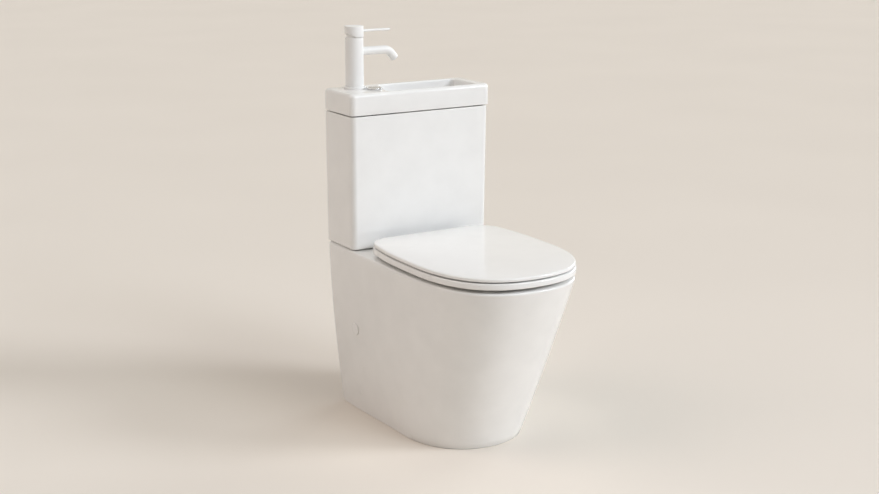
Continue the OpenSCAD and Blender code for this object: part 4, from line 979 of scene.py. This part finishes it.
# The other pieces keep the frame's shapes and get their materials here
for part in frame["record"]["subparts"]:
    data = nodes[part["node"]].data
    data.materials.clear()
    data.materials.append(slotMaterials[part["material_slot"]])
print("frame pieces finished")


roomSize = {"dark": "#ebe3d9", "light": "#ede5db", "patch": 900, "radius": 60, "rough": 0.9,
            "specular": 0.1}


def makeRoom():
    # one plain floor, wide enough to fill the photograph's view
    count = 64
    r = roomSize["radius"]
    verts = [(r * math.cos(2 * math.pi * i / count), r * math.sin(2 * math.pi * i / count), 0)
             for i in range(count)]
    room = makeObject("room", verts, [tuple(range(count))], 60)
    # matt emulsion, rolled on: a cream that hardly changes from place to place
    material, tree, shader, where = newMaterial("paintedFloor")
    patch = spread(tree, pattern(tree, where, roomSize["patch"], 1), 0, 1)
    tree.links.new(tint(tree, patch, roomSize["dark"], roomSize["light"]), shader.inputs["Base Color"])
    shader.inputs["Roughness"].default_value = roomSize["rough"]
    shader.inputs["Specular IOR Level"].default_value = roomSize["specular"]
    room.data.materials.append(material)


# Broad soft lamps: the angle they come from (0 is from the right, -90 from the front), their height in
# degrees, how wide they are, their strength and their colour
lightSet = {
    "key": (-42, 27, 18, 1.40, (0.916, 0.948, 1.0)),
    "front": (-70, 38, 32, 0.70, (0.942, 1.0, 0.991)),
    "right": (20, 14, 32, 0.85, (0.92, 0.971, 1.0)),
    "left": (160, 45, 45, 0.936, (1.0, 0.902, 0.858)),
    "top": (0, 90, 30, 0.455, (1.0, 0.964, 0.873)),
}
# One round soft box near the object, in metres
boxLight = {"place": (1.2, -3.6, 2.6), "aim": (0, 0, 0.4), "width": 1.6, "power": 21,
            "colour": (0.714, 0.795, 1.0)}
# What surrounds the scene: how it lights things, and how it is seen, in gloss too
skySet = {"light": (0.12, 0.12, 0.12, 1), "seen": (0.73, 0.68, 0.60, 1)}


def addLamp(name, kind, energy, colour, towards):
    lamp = bpy.data.lights.new(name, kind)
    lamp.energy = energy
    lamp.color = colour
    obj = bpy.data.objects.new(name, lamp)
    obj.rotation_euler = (-Vector(towards)).to_track_quat("-Z", "Y").to_euler()
    bpy.context.scene.collection.objects.link(obj)
    return obj


def makeLights():
    for name, (turn, height, wide, strength, colour) in lightSet.items():
        a, e = math.radians(turn), math.radians(height)
        towards = (math.cos(a) * math.cos(e), math.sin(a) * math.cos(e), math.sin(e))
        addLamp(name, "SUN", strength, colour, towards).data.angle = math.radians(wide)
    s = boxLight
    box = addLamp("box", "AREA", s["power"], s["colour"], Vector(s["place"]) - Vector(s["aim"]))
    box.data.shape = "DISK"
    box.data.size = s["width"]
    box.location = s["place"]

    world = bpy.data.worlds.new("studio")
    bpy.context.scene.world = world
    world.use_nodes = True
    tree = world.node_tree
    tree.nodes.clear()
    path = addNode(tree, "ShaderNodeLightPath")
    share = path.outputs["Is Camera Ray"]
    for ray in ("Is Glossy Ray", "Is Transmission Ray"):
        share = addNode(tree, "ShaderNodeMath", {"operation": "MAXIMUM"},
                        {0: share, 1: path.outputs[ray]}).outputs["Value"]
    blend = addNode(tree, "ShaderNodeMix", {"data_type": "RGBA"}, {"Factor": share})
    blend.inputs["A"].default_value = skySet["light"]
    blend.inputs["B"].default_value = skySet["seen"]
    sky = addNode(tree, "ShaderNodeBackground", inputs={"Color": blend.outputs["Result"], "Strength": 1.0})
    addNode(tree, "ShaderNodeOutputWorld", inputs={"Surface": sky.outputs["Background"]})


cameraSet = {"place": (-1.6975, -2.6988, 1.2470), "tilt": 75.72, "turn": -31.25, "lens": 59.31}


def makeCamera():
    s = cameraSet
    data = bpy.data.cameras.new("camera")
    data.sensor_width = 36
    data.lens = s["lens"]
    camera = bpy.data.objects.new("camera", data)
    camera.location = s["place"]
    camera.rotation_euler = (math.radians(s["tilt"]), 0, math.radians(s["turn"]))
    bpy.context.scene.collection.objects.link(camera)
    bpy.context.scene.camera = camera


makeRoom()
makeLights()
makeCamera()
bpy.context.scene.view_settings.view_transform = "Standard"
print("room, lights and camera made")
